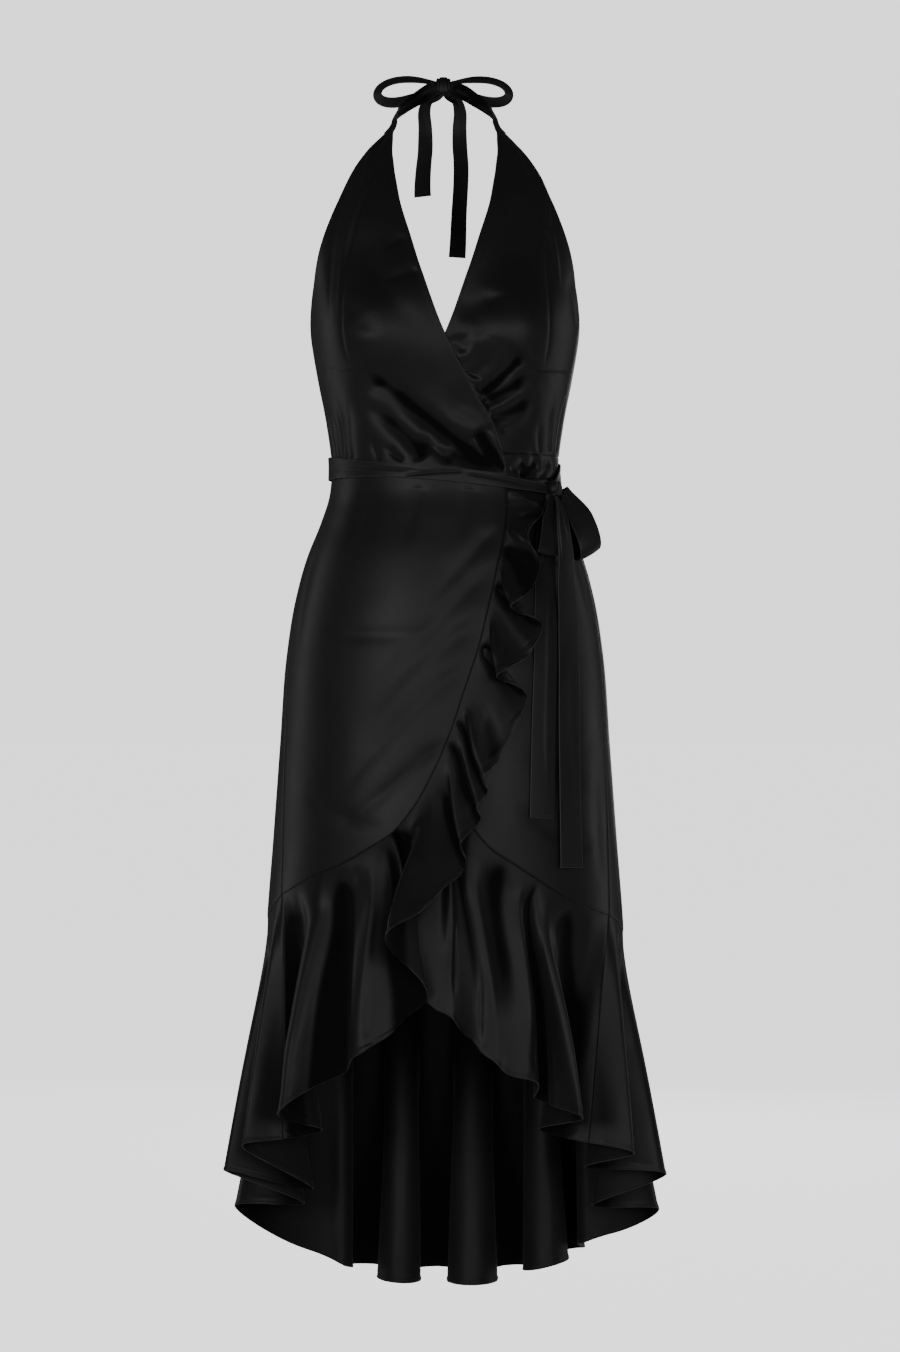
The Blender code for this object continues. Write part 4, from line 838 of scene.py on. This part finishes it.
def band_on_body(line, folds, u, v):
    """A band along a line given by a table of angle, drop, width and out, bent round the body.

    Folds are placed in metres along and across it.
    """
    angle, drop, out = along(line, v, ("angle", "drop", "out")).T
    middle = body(angle, drop, out)
    outward = body(angle, drop, out + 0.01) - middle
    a_degree = body(angle + 0.5, drop, out) - body(angle - 0.5, drop, out)
    tangent = np.gradient(middle, v, axis=0)
    sideways = np.cross(tangent, outward)
    sideways /= np.linalg.norm(sideways, axis=1, keepdims=True)
    across = along(line, v, ("width",)) * (u - 0.5)
    turn = (sideways * a_degree).sum(1) / (a_degree * a_degree).sum(1)
    run = shares_of(middle) * np.linalg.norm(np.diff(middle, axis=0), axis=1).sum()
    height = creased(run[:, None], across, folds, (1, 1))
    return body(
        angle[:, None] + turn[:, None] * across,
        drop[:, None] - sideways[:, 2:] * across,
        out[:, None] + height,
    )


def loop_band(root, reach, rise, breadth, flare, u, v):
    """A ribbon loop: its middle line leaves the knot, turns at the end of reach and comes back.

    With s round the loop, it lies at reach (1 - cos s) / 2 + rise sin s sin(s / 2). The
    ribbon's width lies along breadth and, by flare, along the loop's own way out. It is pinched
    towards the knot, where three small pleats are pressed into it.
    """
    s = (LOOP_HIDDEN + (2 * math.pi - 2 * LOOP_HIDDEN) * v)[:, None, None]
    share = (u - 0.5)[None, :, None]
    width = LOOP_PINCH + (1 - LOOP_PINCH) * smooth((1 - np.cos(s)) / LOOP_OPENING)
    begun = (1 - math.cos(LOOP_START)) / 2
    middle = (
        np.array(root)
        + np.array(reach) * ((1 - np.cos(s)) / 2 - begun) / (1 - begun)
        + np.array(rise) * np.sin(s) * np.sin(s / 2)
    )
    outward = np.cross(np.cross(rise, reach), np.gradient(middle, v, axis=0))
    outward /= np.linalg.norm(outward, axis=-1, keepdims=True)
    points = middle + (np.array(breadth) + outward * flare) * width * share
    pressed = 1 - smooth(1 - np.cos(s[..., 0]))
    pleats = LOOP_PLEAT * np.cos(6 * math.pi * share[..., 0] + LOOP_PLEAT_TURN) * pressed
    bulge = LOOP_BULGE * (1 - (2 * share[..., 0]) ** 2) * (1 - pressed)
    return points + normals_of(points) * (pleats + bulge)[..., None]


def spread(values, cells):
    """Each value of a grid replaced by the mean of those some cells each way from it."""
    for axis in (0, 1):
        wide = np.concatenate([
            np.repeat(values.take([0], axis), cells, axis),
            values,
            np.repeat(values.take([-1], axis), cells, axis),
        ], axis=axis)
        total = np.insert(np.cumsum(wide, axis=axis), 0, 0.0, axis=axis)
        count = values.shape[axis]
        width = 2 * cells + 1
        after = total.take(range(width, width + count), axis)
        values = (after - total.take(range(count), axis)) / width
    return values


def hollows_of(points, outward, depth):
    """How far each point of a grid lies in from its surroundings, as a share of the depth that
    is in full shade.

    The surroundings are the grid's mean over some cells each way, taken twice.
    """
    around = spread(spread(points, HOLLOW_CELLS), HOLLOW_CELLS)
    return spread(((around - points) * outward).sum(-1), 1) / depth


def wall_of(points, edges, thickness):
    """The wall's thickness at each point of a grid.

    It is the cloth's own, more at a hem (h), which is turned twice, and at a turned edge (t).
    At a distance d inside an edge of radius r it is rounded by sqrt(1 - (1 - d / r)^2).
    """
    ways = distances(points)
    wall = np.full(points.shape[:2], thickness)
    for kind, way in zip(edges, ways):
        most, width = {"h": (HEM, HEM_WIDTH), "t": (TURNED, TURNED_WIDTH)}.get(kind, (0, 0))
        if most > thickness:
            wall = np.maximum(wall, most + (thickness - most) * smooth((way - width) / HEM_STEP))
    for kind, way in zip(edges, ways):
        radius = SEAM_ROUND if kind == "s" else EDGE_ROUND
        wall = wall * np.sqrt(1 - (1 - np.minimum(way / radius, 1)) ** 2)
    return wall


def shell(name, points, edges, material, thickness=CLOTH, hollow_depth=HOLLOW_DEPTH):
    """A closed skin round a grid of points: both faces lie half the wall away along the
    normals, and meet in the grid's own edges.

    The edges are named in the order first row, last row, first column, last column, with s for
    a seam, h for a hem and t for a turned edge. Each point carries the distance from the
    nearest hem and the way along it, for the stitches, the distances from the nearest rim of
    either kind and from the nearest seam, how far in it lies as a share of the hollow depth,
    and which side it is on. A hollow on one face is a swell on the other.
    """
    rows, columns = points.shape[:2]
    normals = normals_of(points)
    half = wall_of(points, edges, thickness)[..., None] / 2
    outer = np.arange(rows * columns).reshape(rows, columns)
    inside = np.zeros((rows, columns), bool)
    inside[1:-1, 1:-1] = True
    inner = outer.copy()
    inner[inside] = rows * columns + np.arange(inside.sum())
    vertices = np.concatenate([
        (points + normals * half).reshape(-1, 3),
        (points - normals * half)[inside],
    ])

    def corners(index):
        return [index[:-1, :-1], index[1:, :-1], index[1:, 1:], index[:-1, 1:]]

    faces = np.concatenate([
        np.stack(corners(outer), axis=-1).reshape(-1, 4),
        np.stack(corners(inner)[::-1], axis=-1).reshape(-1, 4),
    ])
    mesh = bpy.data.meshes.new(name)
    mesh.vertices.add(len(vertices))
    mesh.vertices.foreach_set("co", vertices.ravel())
    mesh.loops.add(faces.size)
    mesh.loops.foreach_set("vertex_index", faces.ravel())
    mesh.polygons.add(len(faces))
    mesh.polygons.foreach_set("loop_start", np.arange(0, faces.size, 4))
    mesh.polygons.foreach_set("use_smooth", np.ones(len(faces), bool))
    mesh.update(calc_edges=True)

    first, last, left, right = distances(points)
    hem, rim, seam = np.full((3, rows, columns), 1.0)
    run = np.zeros((rows, columns))
    for kind, way, beside in zip(edges, (first, last, left, right), (left, left, first, first)):
        if kind == "h":
            run = np.where(way < hem, beside, run)
            hem = np.minimum(hem, way)
        if kind == "s":
            seam = np.minimum(seam, way)
        else:
            rim = np.minimum(rim, way)
    grain = np.stack([left, first], axis=-1)
    outward = outward_of(points)
    facing = np.sign((outward * normals).sum(-1))
    hollow = hollows_of(points, outward, hollow_depth) * facing
    for attribute, values, inner_values in (
        ("hem", hem, hem), ("run", run, run), ("rim", rim, rim), ("seam", seam, seam),
        ("hollow", hollow, -hollow), ("wrong_side", 0.5 - facing / 2, 0.5 + facing / 2),
    ):
        layer = mesh.attributes.new(attribute, "FLOAT", "POINT")
        layer.data.foreach_set("value", np.concatenate([values.ravel(), inner_values[inside]]))
    grain = np.concatenate([grain.reshape(-1, 2), grain[inside]])
    mesh.uv_layers.new(name="grain").data.foreach_set("uv", grain[faces.ravel()].ravel())
    mesh.materials.append(material)
    return finished(name, mesh)


def finished(name, mesh):
    """An object for the mesh, which stands for the CAD node of its name and hides that node."""
    piece = bpy.data.objects.new("satin_" + name, mesh)
    bpy.context.scene.collection.objects.link(piece)
    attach(piece, "root")
    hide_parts(name)
    return piece


def knot(name, place, size, turn, folds, material):
    """A tied knot: a ball drawn towards its box, with creases where the cloth wraps over.

    With n the unit ball's point and m its largest coordinate, the surface is n / m^squareness
    times half the size, less depth bell((x - centre - slope z) / width) for each crease, by
    its place x across the knot's front and z up it.
    """
    around = np.linspace(0, 2 * math.pi, 97)[:-1]
    rise = np.linspace(-math.pi / 2, math.pi / 2, 50)[1:-1]
    unit = np.stack([
        np.cos(rise)[:, None] * np.sin(around),
        -np.cos(rise)[:, None] * np.cos(around),
        np.sin(rise)[:, None] + 0 * around,
    ], axis=-1)
    poles = np.array([(0.0, 0.0, -1.0), (0.0, 0.0, 1.0)])
    unit = np.concatenate([unit.reshape(-1, 3), poles])
    points = unit / np.abs(unit).max(axis=1, keepdims=True) ** KNOT_SQUARENESS
    swell = np.ones(len(points))
    for centre, slope, width, depth in np.stack(list(folds.values()), axis=-1):
        swell -= depth * bell((points[:, 0] - centre - slope * points[:, 2]) / width)
    points = points * swell[:, None] * np.array(size) / 2
    cos, sin = math.cos(turn), math.sin(turn)
    points = points @ np.array([(cos, sin, 0), (-sin, cos, 0), (0, 0, 1)]) + np.array(place)
    rows, columns = len(rise), len(around)
    ring = np.arange(rows * columns).reshape(rows, columns)
    beside = np.roll(ring, -1, axis=1)
    sides = np.stack([ring[:-1], beside[:-1], beside[1:], ring[1:]], axis=-1).reshape(-1, 4)
    bottom = np.stack([beside[0], ring[0], 0 * ring[0] + rows * columns], axis=-1)
    top = np.stack([ring[-1], beside[-1], 0 * ring[0] + rows * columns + 1], axis=-1)
    mesh = bpy.data.meshes.new(name)
    mesh.from_pydata(points.tolist(), [], sides.tolist() + bottom.tolist() + top.tolist())
    mesh.shade_smooth()
    mesh.materials.append(material)
    return finished(name, mesh)


class Nodes:
    """Adds nodes to a material's tree and joins them."""

    def __init__(self, tree):
        self.tree = tree

    def add(self, kind, settings=None, **inputs):
        """A node of a kind. An input goes by its socket's name, or by i and its number."""
        node = self.tree.nodes.new("ShaderNode" + kind)
        for key, value in (settings or {}).items():
            setattr(node, key, value)
        for key, value in inputs.items():
            socket = node.inputs[int(key[1:]) if key[1:].isdigit() else key.replace("_", " ")]
            if isinstance(value, bpy.types.NodeSocket):
                self.tree.links.new(value, socket)
            else:
                socket.default_value = value
        return node

    def math(self, operation, first, second=0.0, third=0.0):
        node = self.add("Math", {"operation": operation}, i0=first, i1=second, i2=third)
        return node.outputs[0]

    def step(self, value, low, high, to_low=0.0, to_high=1.0):
        return self.add(
            "MapRange",
            {"interpolation_type": "SMOOTHSTEP"},
            Value=value, From_Min=low, From_Max=high, To_Min=to_low, To_Max=to_high,
        ).outputs["Result"]

    def mix(self, share, first, second):
        node = self.add("Mix", {"data_type": "RGBA"}, i0=share, i6=first, i7=second)
        return node.outputs[2]

    def attribute(self, name):
        return self.add("Attribute", {"attribute_name": name}).outputs["Fac"]

    def noise(self, place, scale, detail, **inputs):
        node = self.add("TexNoise", Vector=place, Scale=scale, Detail=detail, **inputs)
        return node.outputs["Fac"]

    def bump(self, height, distance, **under):
        node = self.add("Bump", Height=height, Distance=distance, Strength=1.0, **under)
        return node.outputs[0]


RIM_HIGHLIGHT_SHOW = 0.7  # how much of the painted highlight shows on the very edge of a hem
# the colour of that painted highlight, where a rounded edge would catch the light
RIM_HIGHLIGHT_COLOUR = (0.062, 0.061, 0.060, 1)
STITCH_LINE = 0.0040  # how far in from the hem the stitches are
STITCH = 0.0026  # from the start of one to the start of the next
STITCH_SHOW = 0.6  # how much of the thread's colour shows
THREAD_COLOUR = (0.030, 0.030, 0.030, 1)
# painted shade along each seam: how far the colour goes towards the dark, and that dark
SEAM_SHADE = 0.8
SEAM_SHADOW_COLOUR = (0.001, 0.001, 0.001, 1)
HOLLOW_SHADE = 0.95  # how far the painted shade takes a hollow's colour towards its darkest
HOLLOW_SHADOW_COLOUR = (0.0004, 0.0004, 0.0004, 1)
HOLLOW_ROUGHNESS = 0.5  # how much rougher a hollow in full shade is than a swell
WRONG_SIDE_ROUGHNESS = 0.12
PRESS_RELIEF = 0.0024
RIPPLE_RELIEF = 0.00005
THREAD_RELIEF = 0.000012
STITCH_RELIEF = 0.00025


def satin(name, dark=(0.0102, 0.0101, 0.0100, 1), light=(0.0172, 0.0170, 0.0168, 1), crush=1.0):
    """Black satin: fine warp threads along the grain, a soft mottled sheen, small presses and
    rubs in the cloth, and a row of stitches beside each hem.

    Painted shade makes it darker where the hollow attribute says that the cloth lies in a fold,
    where it also turns rougher; painted shade also darkens its seams, and a painted highlight
    lightens its rounded edges.
    Crush is the strength of the presses and ripples.
    """
    material = bpy.data.materials.new(name)
    material.use_nodes = True
    material.diffuse_color = light
    tree = material.node_tree
    nodes = Nodes(tree)
    shader = tree.nodes["Principled BSDF"]
    place = nodes.add("TexCoord").outputs["Object"]
    grain = nodes.add("UVMap", {"uv_map": "grain"}).outputs["UV"]
    hem, run, rim, seam, hollow, wrong_side = (
        nodes.attribute(name) for name in ("hem", "run", "rim", "seam", "hollow", "wrong_side")
    )

    # The row of stitches, and the thread in it.
    off_line = nodes.math("ABSOLUTE", nodes.math("SUBTRACT", hem, STITCH_LINE))
    row = nodes.step(off_line, 0.00015, 0.0005, 1.0, 0.0)
    beat = nodes.math("FRACT", nodes.math("DIVIDE", run, STITCH))
    off_middle = nodes.math("ABSOLUTE", nodes.math("SUBTRACT", beat, 0.5))
    stitch = nodes.math("MULTIPLY", row, nodes.step(off_middle, 0.3, 0.42, 1.0, 0.0))

    # The colour: the cloth's mottle, the paler thread, a painted highlight on the rounded edge,
    # painted shade in the sunk seam, and painted shade in the hollows.
    mottle = nodes.noise(place, 9.0, 3.0, Roughness=0.55)
    # painted shade in the hollows; the same mask also makes them rougher further down
    painted_shade_and_dulling = nodes.step(hollow, -0.05, 0.85)
    colour = nodes.mix(mottle, dark, light)
    for share, other in (
        (nodes.math("MULTIPLY", stitch, STITCH_SHOW), THREAD_COLOUR),
        (nodes.step(rim, 0.0003, 0.0011, RIM_HIGHLIGHT_SHOW, 0.0), RIM_HIGHLIGHT_COLOUR),
        (nodes.step(seam, 0.0002, 0.0012, SEAM_SHADE, 0.0), SEAM_SHADOW_COLOUR),
        (nodes.math("MULTIPLY", painted_shade_and_dulling, HOLLOW_SHADE), HOLLOW_SHADOW_COLOUR),
    ):
        colour = nodes.mix(share, colour, other)
    tree.links.new(colour, shader.inputs["Base Color"])

    # The gloss, uneven where the cloth was pressed or rubbed.
    rubs = nodes.noise(place, 12.0, 3.0, Roughness=0.5)
    gloss = nodes.add(
        "MapRange", Value=rubs, From_Min=0.3, From_Max=0.7, To_Min=0.35, To_Max=0.43
    )
    duller = nodes.math("MULTIPLY_ADD", wrong_side, WRONG_SIDE_ROUGHNESS, gloss.outputs["Result"])
    duller = nodes.math("MULTIPLY_ADD", painted_shade_and_dulling, HOLLOW_ROUGHNESS, duller)
    tree.links.new(duller, shader.inputs["Roughness"])
    shader.inputs["Specular IOR Level"].default_value = 0.18
    shader.inputs["Anisotropic"].default_value = 0.35
    shader.inputs["Sheen Weight"].default_value = 0.06
    shader.inputs["Sheen Roughness"].default_value = 0.45
    shader.inputs["Sheen Tint"].default_value = (0.92, 0.91, 0.90, 1)

    # The relief: presses of some centimetres, ripples of some millimetres, threads, stitches.
    stretched = nodes.add("Mapping", Vector=grain, Scale=(5200.0, 160.0, 1.0)).outputs[0]
    threads = nodes.noise(stretched, 1.0, 1.0)
    presses = nodes.noise(place, 8.0, 1.5, Distortion=0.3)
    ripples = nodes.noise(place, 70.0, 2.0, Distortion=0.3)
    normal = nodes.bump(presses, PRESS_RELIEF * crush)
    normal = nodes.bump(ripples, RIPPLE_RELIEF * crush, Normal=normal)
    normal = nodes.bump(threads, THREAD_RELIEF, Normal=normal)
    normal = nodes.bump(nodes.math("SUBTRACT", stitch, row), STITCH_RELIEF, Normal=normal)
    tree.links.new(normal, shader.inputs["Normal"])
    return material


def build_bodice(material):
    """The bodice's two fronts and its back, and the two waistbands."""
    left_waist = table("angle drop", [(-SIDE_ANGLE, WAIST_TOP), (SIDE_ANGLE, WAIST_TOP)])
    pieces = {}

    across = lines(0.27, 140)
    dart = (DART_DROP + DART_LINES - HALTER_TOP) / (WAIST_TOP - HALTER_TOP)
    down = np.sort(np.concatenate([lines(0.40, 190), dart]))
    for name, side, waist, out_rule in (
        ("front_right_bodice", -1, RIGHT_WAIST, right_front_out),
        ("front_left_bodice", 1, left_waist, left_front_out),
    ):
        points = front_bodice(side, waist, out_rule, "ssst", across, down)
        pieces[name] = shell(name, points, "ssst", material)

    angle = SIDE_ANGLE + (360 - 2 * SIDE_ANGLE) * lines(0.28, 110)
    top = UNDERARM + BACK_DIP * smooth((90 - np.abs(angle - 180)) / BACK_DIP_TURN)
    drop = top + (WAIST_TOP - top) * lines(0.10, 36)[:, None]
    out = UNDER_OUT + creased_on_body(angle, drop, BACK_BODICE_FOLDS)
    points = on_body(angle[None, :] + 0 * drop, drop, out, "tsss")
    pieces["back_bodice"] = shell("back_bodice", points, "tsss", material)

    drop = (WAIST_TOP + (WAIST_BOTTOM - WAIST_TOP) * lines(0.027, 14))[:, None]
    for name, start, end, count, edges in (
        ("waistband_front_left", BAND_ANGLE, SIDE_ANGLE, 90, "ssts"),
        ("waistband_back", SIDE_ANGLE, 360 - SIDE_ANGLE, 100, "ssss"),
    ):
        angle = start + (end - start) * lines(0.26, count)[None, :]
        out = left_front_out(angle, drop) if start < 0 else UNDER_OUT + 0 * (angle + drop)
        points = on_body(angle + 0 * drop, drop + 0 * angle, out, edges)
        pieces[name] = shell(name, points, edges, material, hollow_depth=BAND_HOLLOW_DEPTH)
    return pieces


def build_skirt(material):
    """The three skirt panels and the flounces on their edges."""
    pieces = {}
    u = lines(0.24, 80)
    under_sash = np.linspace(0, SASH_LAP, 5)[:-1]
    v = np.concatenate([under_sash, SASH_LAP + (1 - SASH_LAP) * lines(0.42, 110)])
    begin = int(np.searchsorted(v, SASH_LAP))
    top = np.stack([RIGHT_WAIST["angle"], RIGHT_WAIST["drop"]], axis=-1)
    top = through(RIGHT_WAIST["angle"], top, -SIDE_ANGLE + (SIDE_ANGLE + WRAP_ANGLE) * u)
    wrap = along(OVER_EDGE, np.maximum(v - SASH_LAP, 0) / (1 - SASH_LAP) * OVER_CORNER)
    wrap[:begin] = top[-1] + (wrap[begin] - top[-1]) * (v[:begin] / SASH_LAP)[:, None]
    lower = along(OVER_EDGE, 1 + (OVER_CORNER - 1) * u)
    side = top[0] + (lower[0] - top[0]) * v[:, None]
    grid = patch(top, lower, side, wrap, u, v)
    out = over_out(grid[..., 0], grid[..., 1])
    out = out + creased_on_body(grid[..., 0], grid[..., 1], OVER_SKIRT_FOLDS)
    over = on_body(grid[..., 0], grid[..., 1], out, "ssss")
    pieces["skirt_front_right"] = shell("skirt_front_right", over, "ssss", material)

    u, v = lines(0.25, 80), lines(0.40, 100)
    span = SIDE_ANGLE + WRAP_ANGLE
    top = np.stack([-WRAP_ANGLE + span * u, WAIST_BOTTOM + 0 * u], axis=-1)
    lower = along(UNDER_EDGE, u)
    free = along(UNDER_FREE_EDGE, v)
    side = top[-1] + (lower[-1] - top[-1]) * v[:, None]
    grid = patch(top, lower, free, side, u, v)
    out = UNDER_OUT + creased_on_body(grid[..., 0], grid[..., 1], UNDER_SKIRT_FOLDS)
    under = on_body(grid[..., 0], grid[..., 1], out, "ssts")
    pieces["skirt_front_left"] = shell("skirt_front_left", under, "ssts", material)

    u, v = lines(0.38, 110), lines(0.52, 110)
    top = np.stack([SIDE_ANGLE + (360 - 2 * SIDE_ANGLE) * u, WAIST_BOTTOM + 0 * u], axis=-1)
    lower = along(BACK_EDGE, u)
    left, right = (top[i] + (lower[i] - top[i]) * v[:, None] for i in (0, -1))
    grid = patch(top, lower, left, right, u, v)
    out = UNDER_OUT + creased_on_body(grid[..., 0], grid[..., 1], BACK_SKIRT_FOLDS)
    back = on_body(grid[..., 0], grid[..., 1], out, "ssss")
    pieces["skirt_back"] = shell("skirt_back", back, "ssss", material)

    over_edge = edge_and_away(over, ((slice(begin, None), -1), (-1, slice(-2, None, -1))))
    under_edge = edge_and_away(under, ((-1, slice(None)),))
    back_edge = edge_and_away(back, ((-1, slice(None)),))
    right = flounce(*over_edge, OVER_FOLDS, OVER_FLOUNCE_FOLDS, 7, 52)
    left = flounce(*under_edge, UNDER_FOLDS, UNDER_FLOUNCE_FOLDS, 14, 52, HIDDEN_END)
    behind = flounce(*back_edge, BACK_FOLDS, BACK_FLOUNCE_FOLDS, 11, 60)
    beside = smooth((np.abs(behind[..., 0]) - MIDDLE_HALF_WIDTH) / MIDDLE_FADE)
    back_depth = MIDDLE_HOLLOW_DEPTH + (SIDE_HOLLOW_DEPTH - MIDDLE_HOLLOW_DEPTH) * beside
    for name, points, edges, depth in (
        ("flounce_front_right", right, "shhs", RIGHT_HOLLOW_DEPTH),
        ("flounce_front_left", left, "shhs", LEFT_HOLLOW_DEPTH),
        ("flounce_back", behind, "shss", back_depth),
    ):
        pieces[name] = shell(name, points, edges, material, hollow_depth=depth)
    return pieces


def build_sash(material):
    """The sash round the waist and its bow at the wearer's left hip."""
    pieces = {}
    u = lines(0.030, 14)
    for name, line, folds, length, count, edges in (
        ("waist_tie", SASH, SASH_FOLDS, 0.80, 300, "sstt"),
        ("waist_tail_long", LONG_TAIL, LONG_TAIL_FOLDS, 0.44, 140, "shtt"),
        ("waist_tail_short", SHORT_TAIL, SHORT_TAIL_FOLDS, 0.37, 120, "shtt"),
    ):
        points = band_on_body(line, folds, u, lines(length, count))
        pieces[name] = shell(name, points, edges, material, TIE)
    for side, (root, end, rise, breadth) in (
        ("right", RIGHT_WAIST_LOOP),
        ("left", LEFT_WAIST_LOOP),
    ):
        root, end = body(*root), body(*end)
        points = loop_band(root, end - root, rise, breadth, 0.0, u, lines(0.15, 80))
        name = "waist_loop_" + side
        pieces[name] = shell(name, points, "sstt", material, TIE, BAND_HOLLOW_DEPTH)
    place = body(*WAIST_KNOT_PLACE)
    turn = math.radians(WAIST_KNOT_PLACE[0])
    pieces["waist_knot"] = knot(
        "waist_knot", place, WAIST_KNOT_SIZE, turn, WAIST_KNOT_FOLDS, material
    )
    return pieces


def build_neck(material):
    """The neck ties and their bow at the nape."""
    pieces = {}
    u = lines(0.017, 10)
    front_edges = [
        through(edge["drop"], edge["angle"], np.array([HALTER_TOP]))[0]
        for edge in (NECKLINE, ARMHOLE)
    ]
    for side, word, tail in ((-1, "right", RIGHT_NECK_TAIL), (1, "left", LEFT_NECK_TAIL)):
        line = dict(NECK_TIE, angle=side * NECK_TIE["angle"])
        line["angle"][-1] = NAPE_ANGLES[word]
        name = "neck_tie_" + word
        points = band_on_body(line, NECK_TIE_FOLDS, u, lines(0.17, 90))
        top = side * (front_edges[0] + (front_edges[1] - front_edges[0]) * u[::side])
        begun = shares_of(points[:, 0]) / TIE_JOIN
        join = body(top, HALTER_TOP, UNDER_OUT) - points[0]
        points = points + join * (1 - smooth(begun))[:, None, None]
        pieces[name] = shell(name, points, "sstt", material, TIE, BAND_HOLLOW_DEPTH)
        root = np.array(NECK_LOOP_ROOT) * (side, 1, 1) + (NECK_KNOT_PLACE[0], 0, 0)
        reach = np.array(NECK_LOOP_REACH) * (side, 1, 1)
        points = loop_band(
            root, reach, NECK_LOOP_RISE, NECK_LOOP_BREADTH, NECK_LOOP_FLARE, u, lines(0.16, 90)
        )
        name = "neck_loop_" + word
        pieces[name] = shell(name, points, "sstt", material, TIE, BAND_HOLLOW_DEPTH)
        name = "neck_tail_" + word
        points = band_on_body(tail, NECK_TAIL_FOLDS, u, lines(0.16, 70))
        pieces[name] = shell(name, points, "shtt", material, TIE)
    pieces["neck_knot"] = knot(
        "neck_knot", NECK_KNOT_PLACE, NECK_KNOT_SIZE, 0.0, NECK_KNOT_FOLDS, material
    )
    return pieces


FLOOR_DROP = 1.62
FLOOR_RADIUS = 40.0
BACKDROP_GLOW = 1.7  # how bright the pale room looks to the camera


def build_stage():
    """A pale floor well below the hanging dress, so wide that it runs into the pale room. It
    looks brighter to the camera than what it sheds on the dress."""
    material = bpy.data.materials.new("pale_floor")
    material.use_nodes = True
    shader = material.node_tree.nodes["Principled BSDF"]
    shader.inputs["Base Color"].default_value = (0.86, 0.86, 0.86, 1)
    shader.inputs["Roughness"].default_value = 0.9
    shader.inputs["Emission Color"].default_value = (1, 1, 1, 1)
    nodes = Nodes(material.node_tree)
    seen = nodes.add("LightPath").outputs["Is Camera Ray"]
    glow = nodes.math("MULTIPLY", seen, BACKDROP_GLOW)
    material.node_tree.links.new(glow, shader.inputs["Emission Strength"])
    around = np.linspace(0, 2 * math.pi, 97)[:-1]
    points = np.stack([
        FLOOR_RADIUS * np.cos(around), FLOOR_RADIUS * np.sin(around), 0 * around - FLOOR_DROP
    ], axis=-1)
    mesh = bpy.data.meshes.new("floor")
    mesh.from_pydata(points.tolist(), [], [list(range(len(around)))])
    mesh.materials.append(material)
    floor = bpy.data.objects.new("floor", mesh)
    bpy.context.scene.collection.objects.link(floor)


def build_light():
    """Large soft lights: three before the dress, a strip a little behind it at each side, and
    one well behind it for its back. The pale room itself sheds little light."""
    for name, place, aim, size, height, power in (
        ("key", (-1.65, -3.15, -0.20), (0.0, -0.1, -0.65), 1.3, 1.4, 23.0),
        ("fill", (1.55, -3.15, -0.35), (0.0, -0.1, -0.65), 1.3, 1.4, 18.0),
        ("front", (0.0, -3.6, -0.20), (0.0, -0.1, -0.65), 1.2, 1.0, 11.0),
        ("strip_right", (-2.1, 0.5, -0.7), (0.0, -0.1, -0.7), 0.5, 2.2, 8.5),
        ("strip_left", (2.1, 0.5, -0.7), (0.0, -0.1, -0.7), 0.5, 2.2, 8.0),
        ("behind", (0.6, 3.3, -0.1), (0.0, 0.0, -0.7), 2.2, 1.8, 22.0),
    ):
        light = bpy.data.lights.new(name, "AREA")
        light.shape = "RECTANGLE"
        light.size = size
        light.size_y = height
        light.energy = power
        lamp = bpy.data.objects.new(name, light)
        lamp.location = place
        way = Vector(aim) - Vector(place)
        lamp.rotation_euler = way.to_track_quat("-Z", "Y").to_euler()
        bpy.context.scene.collection.objects.link(lamp)
    world = bpy.data.worlds.new("studio")
    world.use_nodes = True
    bpy.context.scene.world = world
    nodes = Nodes(world.node_tree)
    background = world.node_tree.nodes["Background"]
    background.inputs["Color"].default_value = (1.0, 1.0, 1.0, 1)
    seen = nodes.add("LightPath").outputs["Is Camera Ray"]
    strength = nodes.add("MapRange", Value=seen, To_Min=0.04, To_Max=BACKDROP_GLOW)
    world.node_tree.links.new(strength.outputs["Result"], background.inputs["Strength"])


def build_camera():
    """Level with the middle of the dress, and 3.6 m before the body's axis."""
    camera = bpy.data.cameras.new("camera")
    camera.lens = 84.1
    camera.sensor_width = 36.0
    eye = bpy.data.objects.new("camera", camera)
    eye.location = (0.0057, -3.662, -0.6842)
    eye.rotation_euler = (math.radians(90), 0, 0)
    bpy.context.scene.collection.objects.link(eye)
    bpy.context.scene.camera = eye


build_camera()
build_light()
build_stage()
cloth = satin("black_satin")
# The sash, ties, bows and knots get a copy of the same satin with weaker presses and ripples; its
# paler colour is painted light.
painted_paler_tape = satin(
    "black_satin_tape", (0.0140, 0.0139, 0.0137, 1), (0.0200, 0.0198, 0.0196, 1), crush=0.5
)
build_bodice(cloth)
build_skirt(cloth)
build_sash(painted_paler_tape)
build_neck(painted_paler_tape)
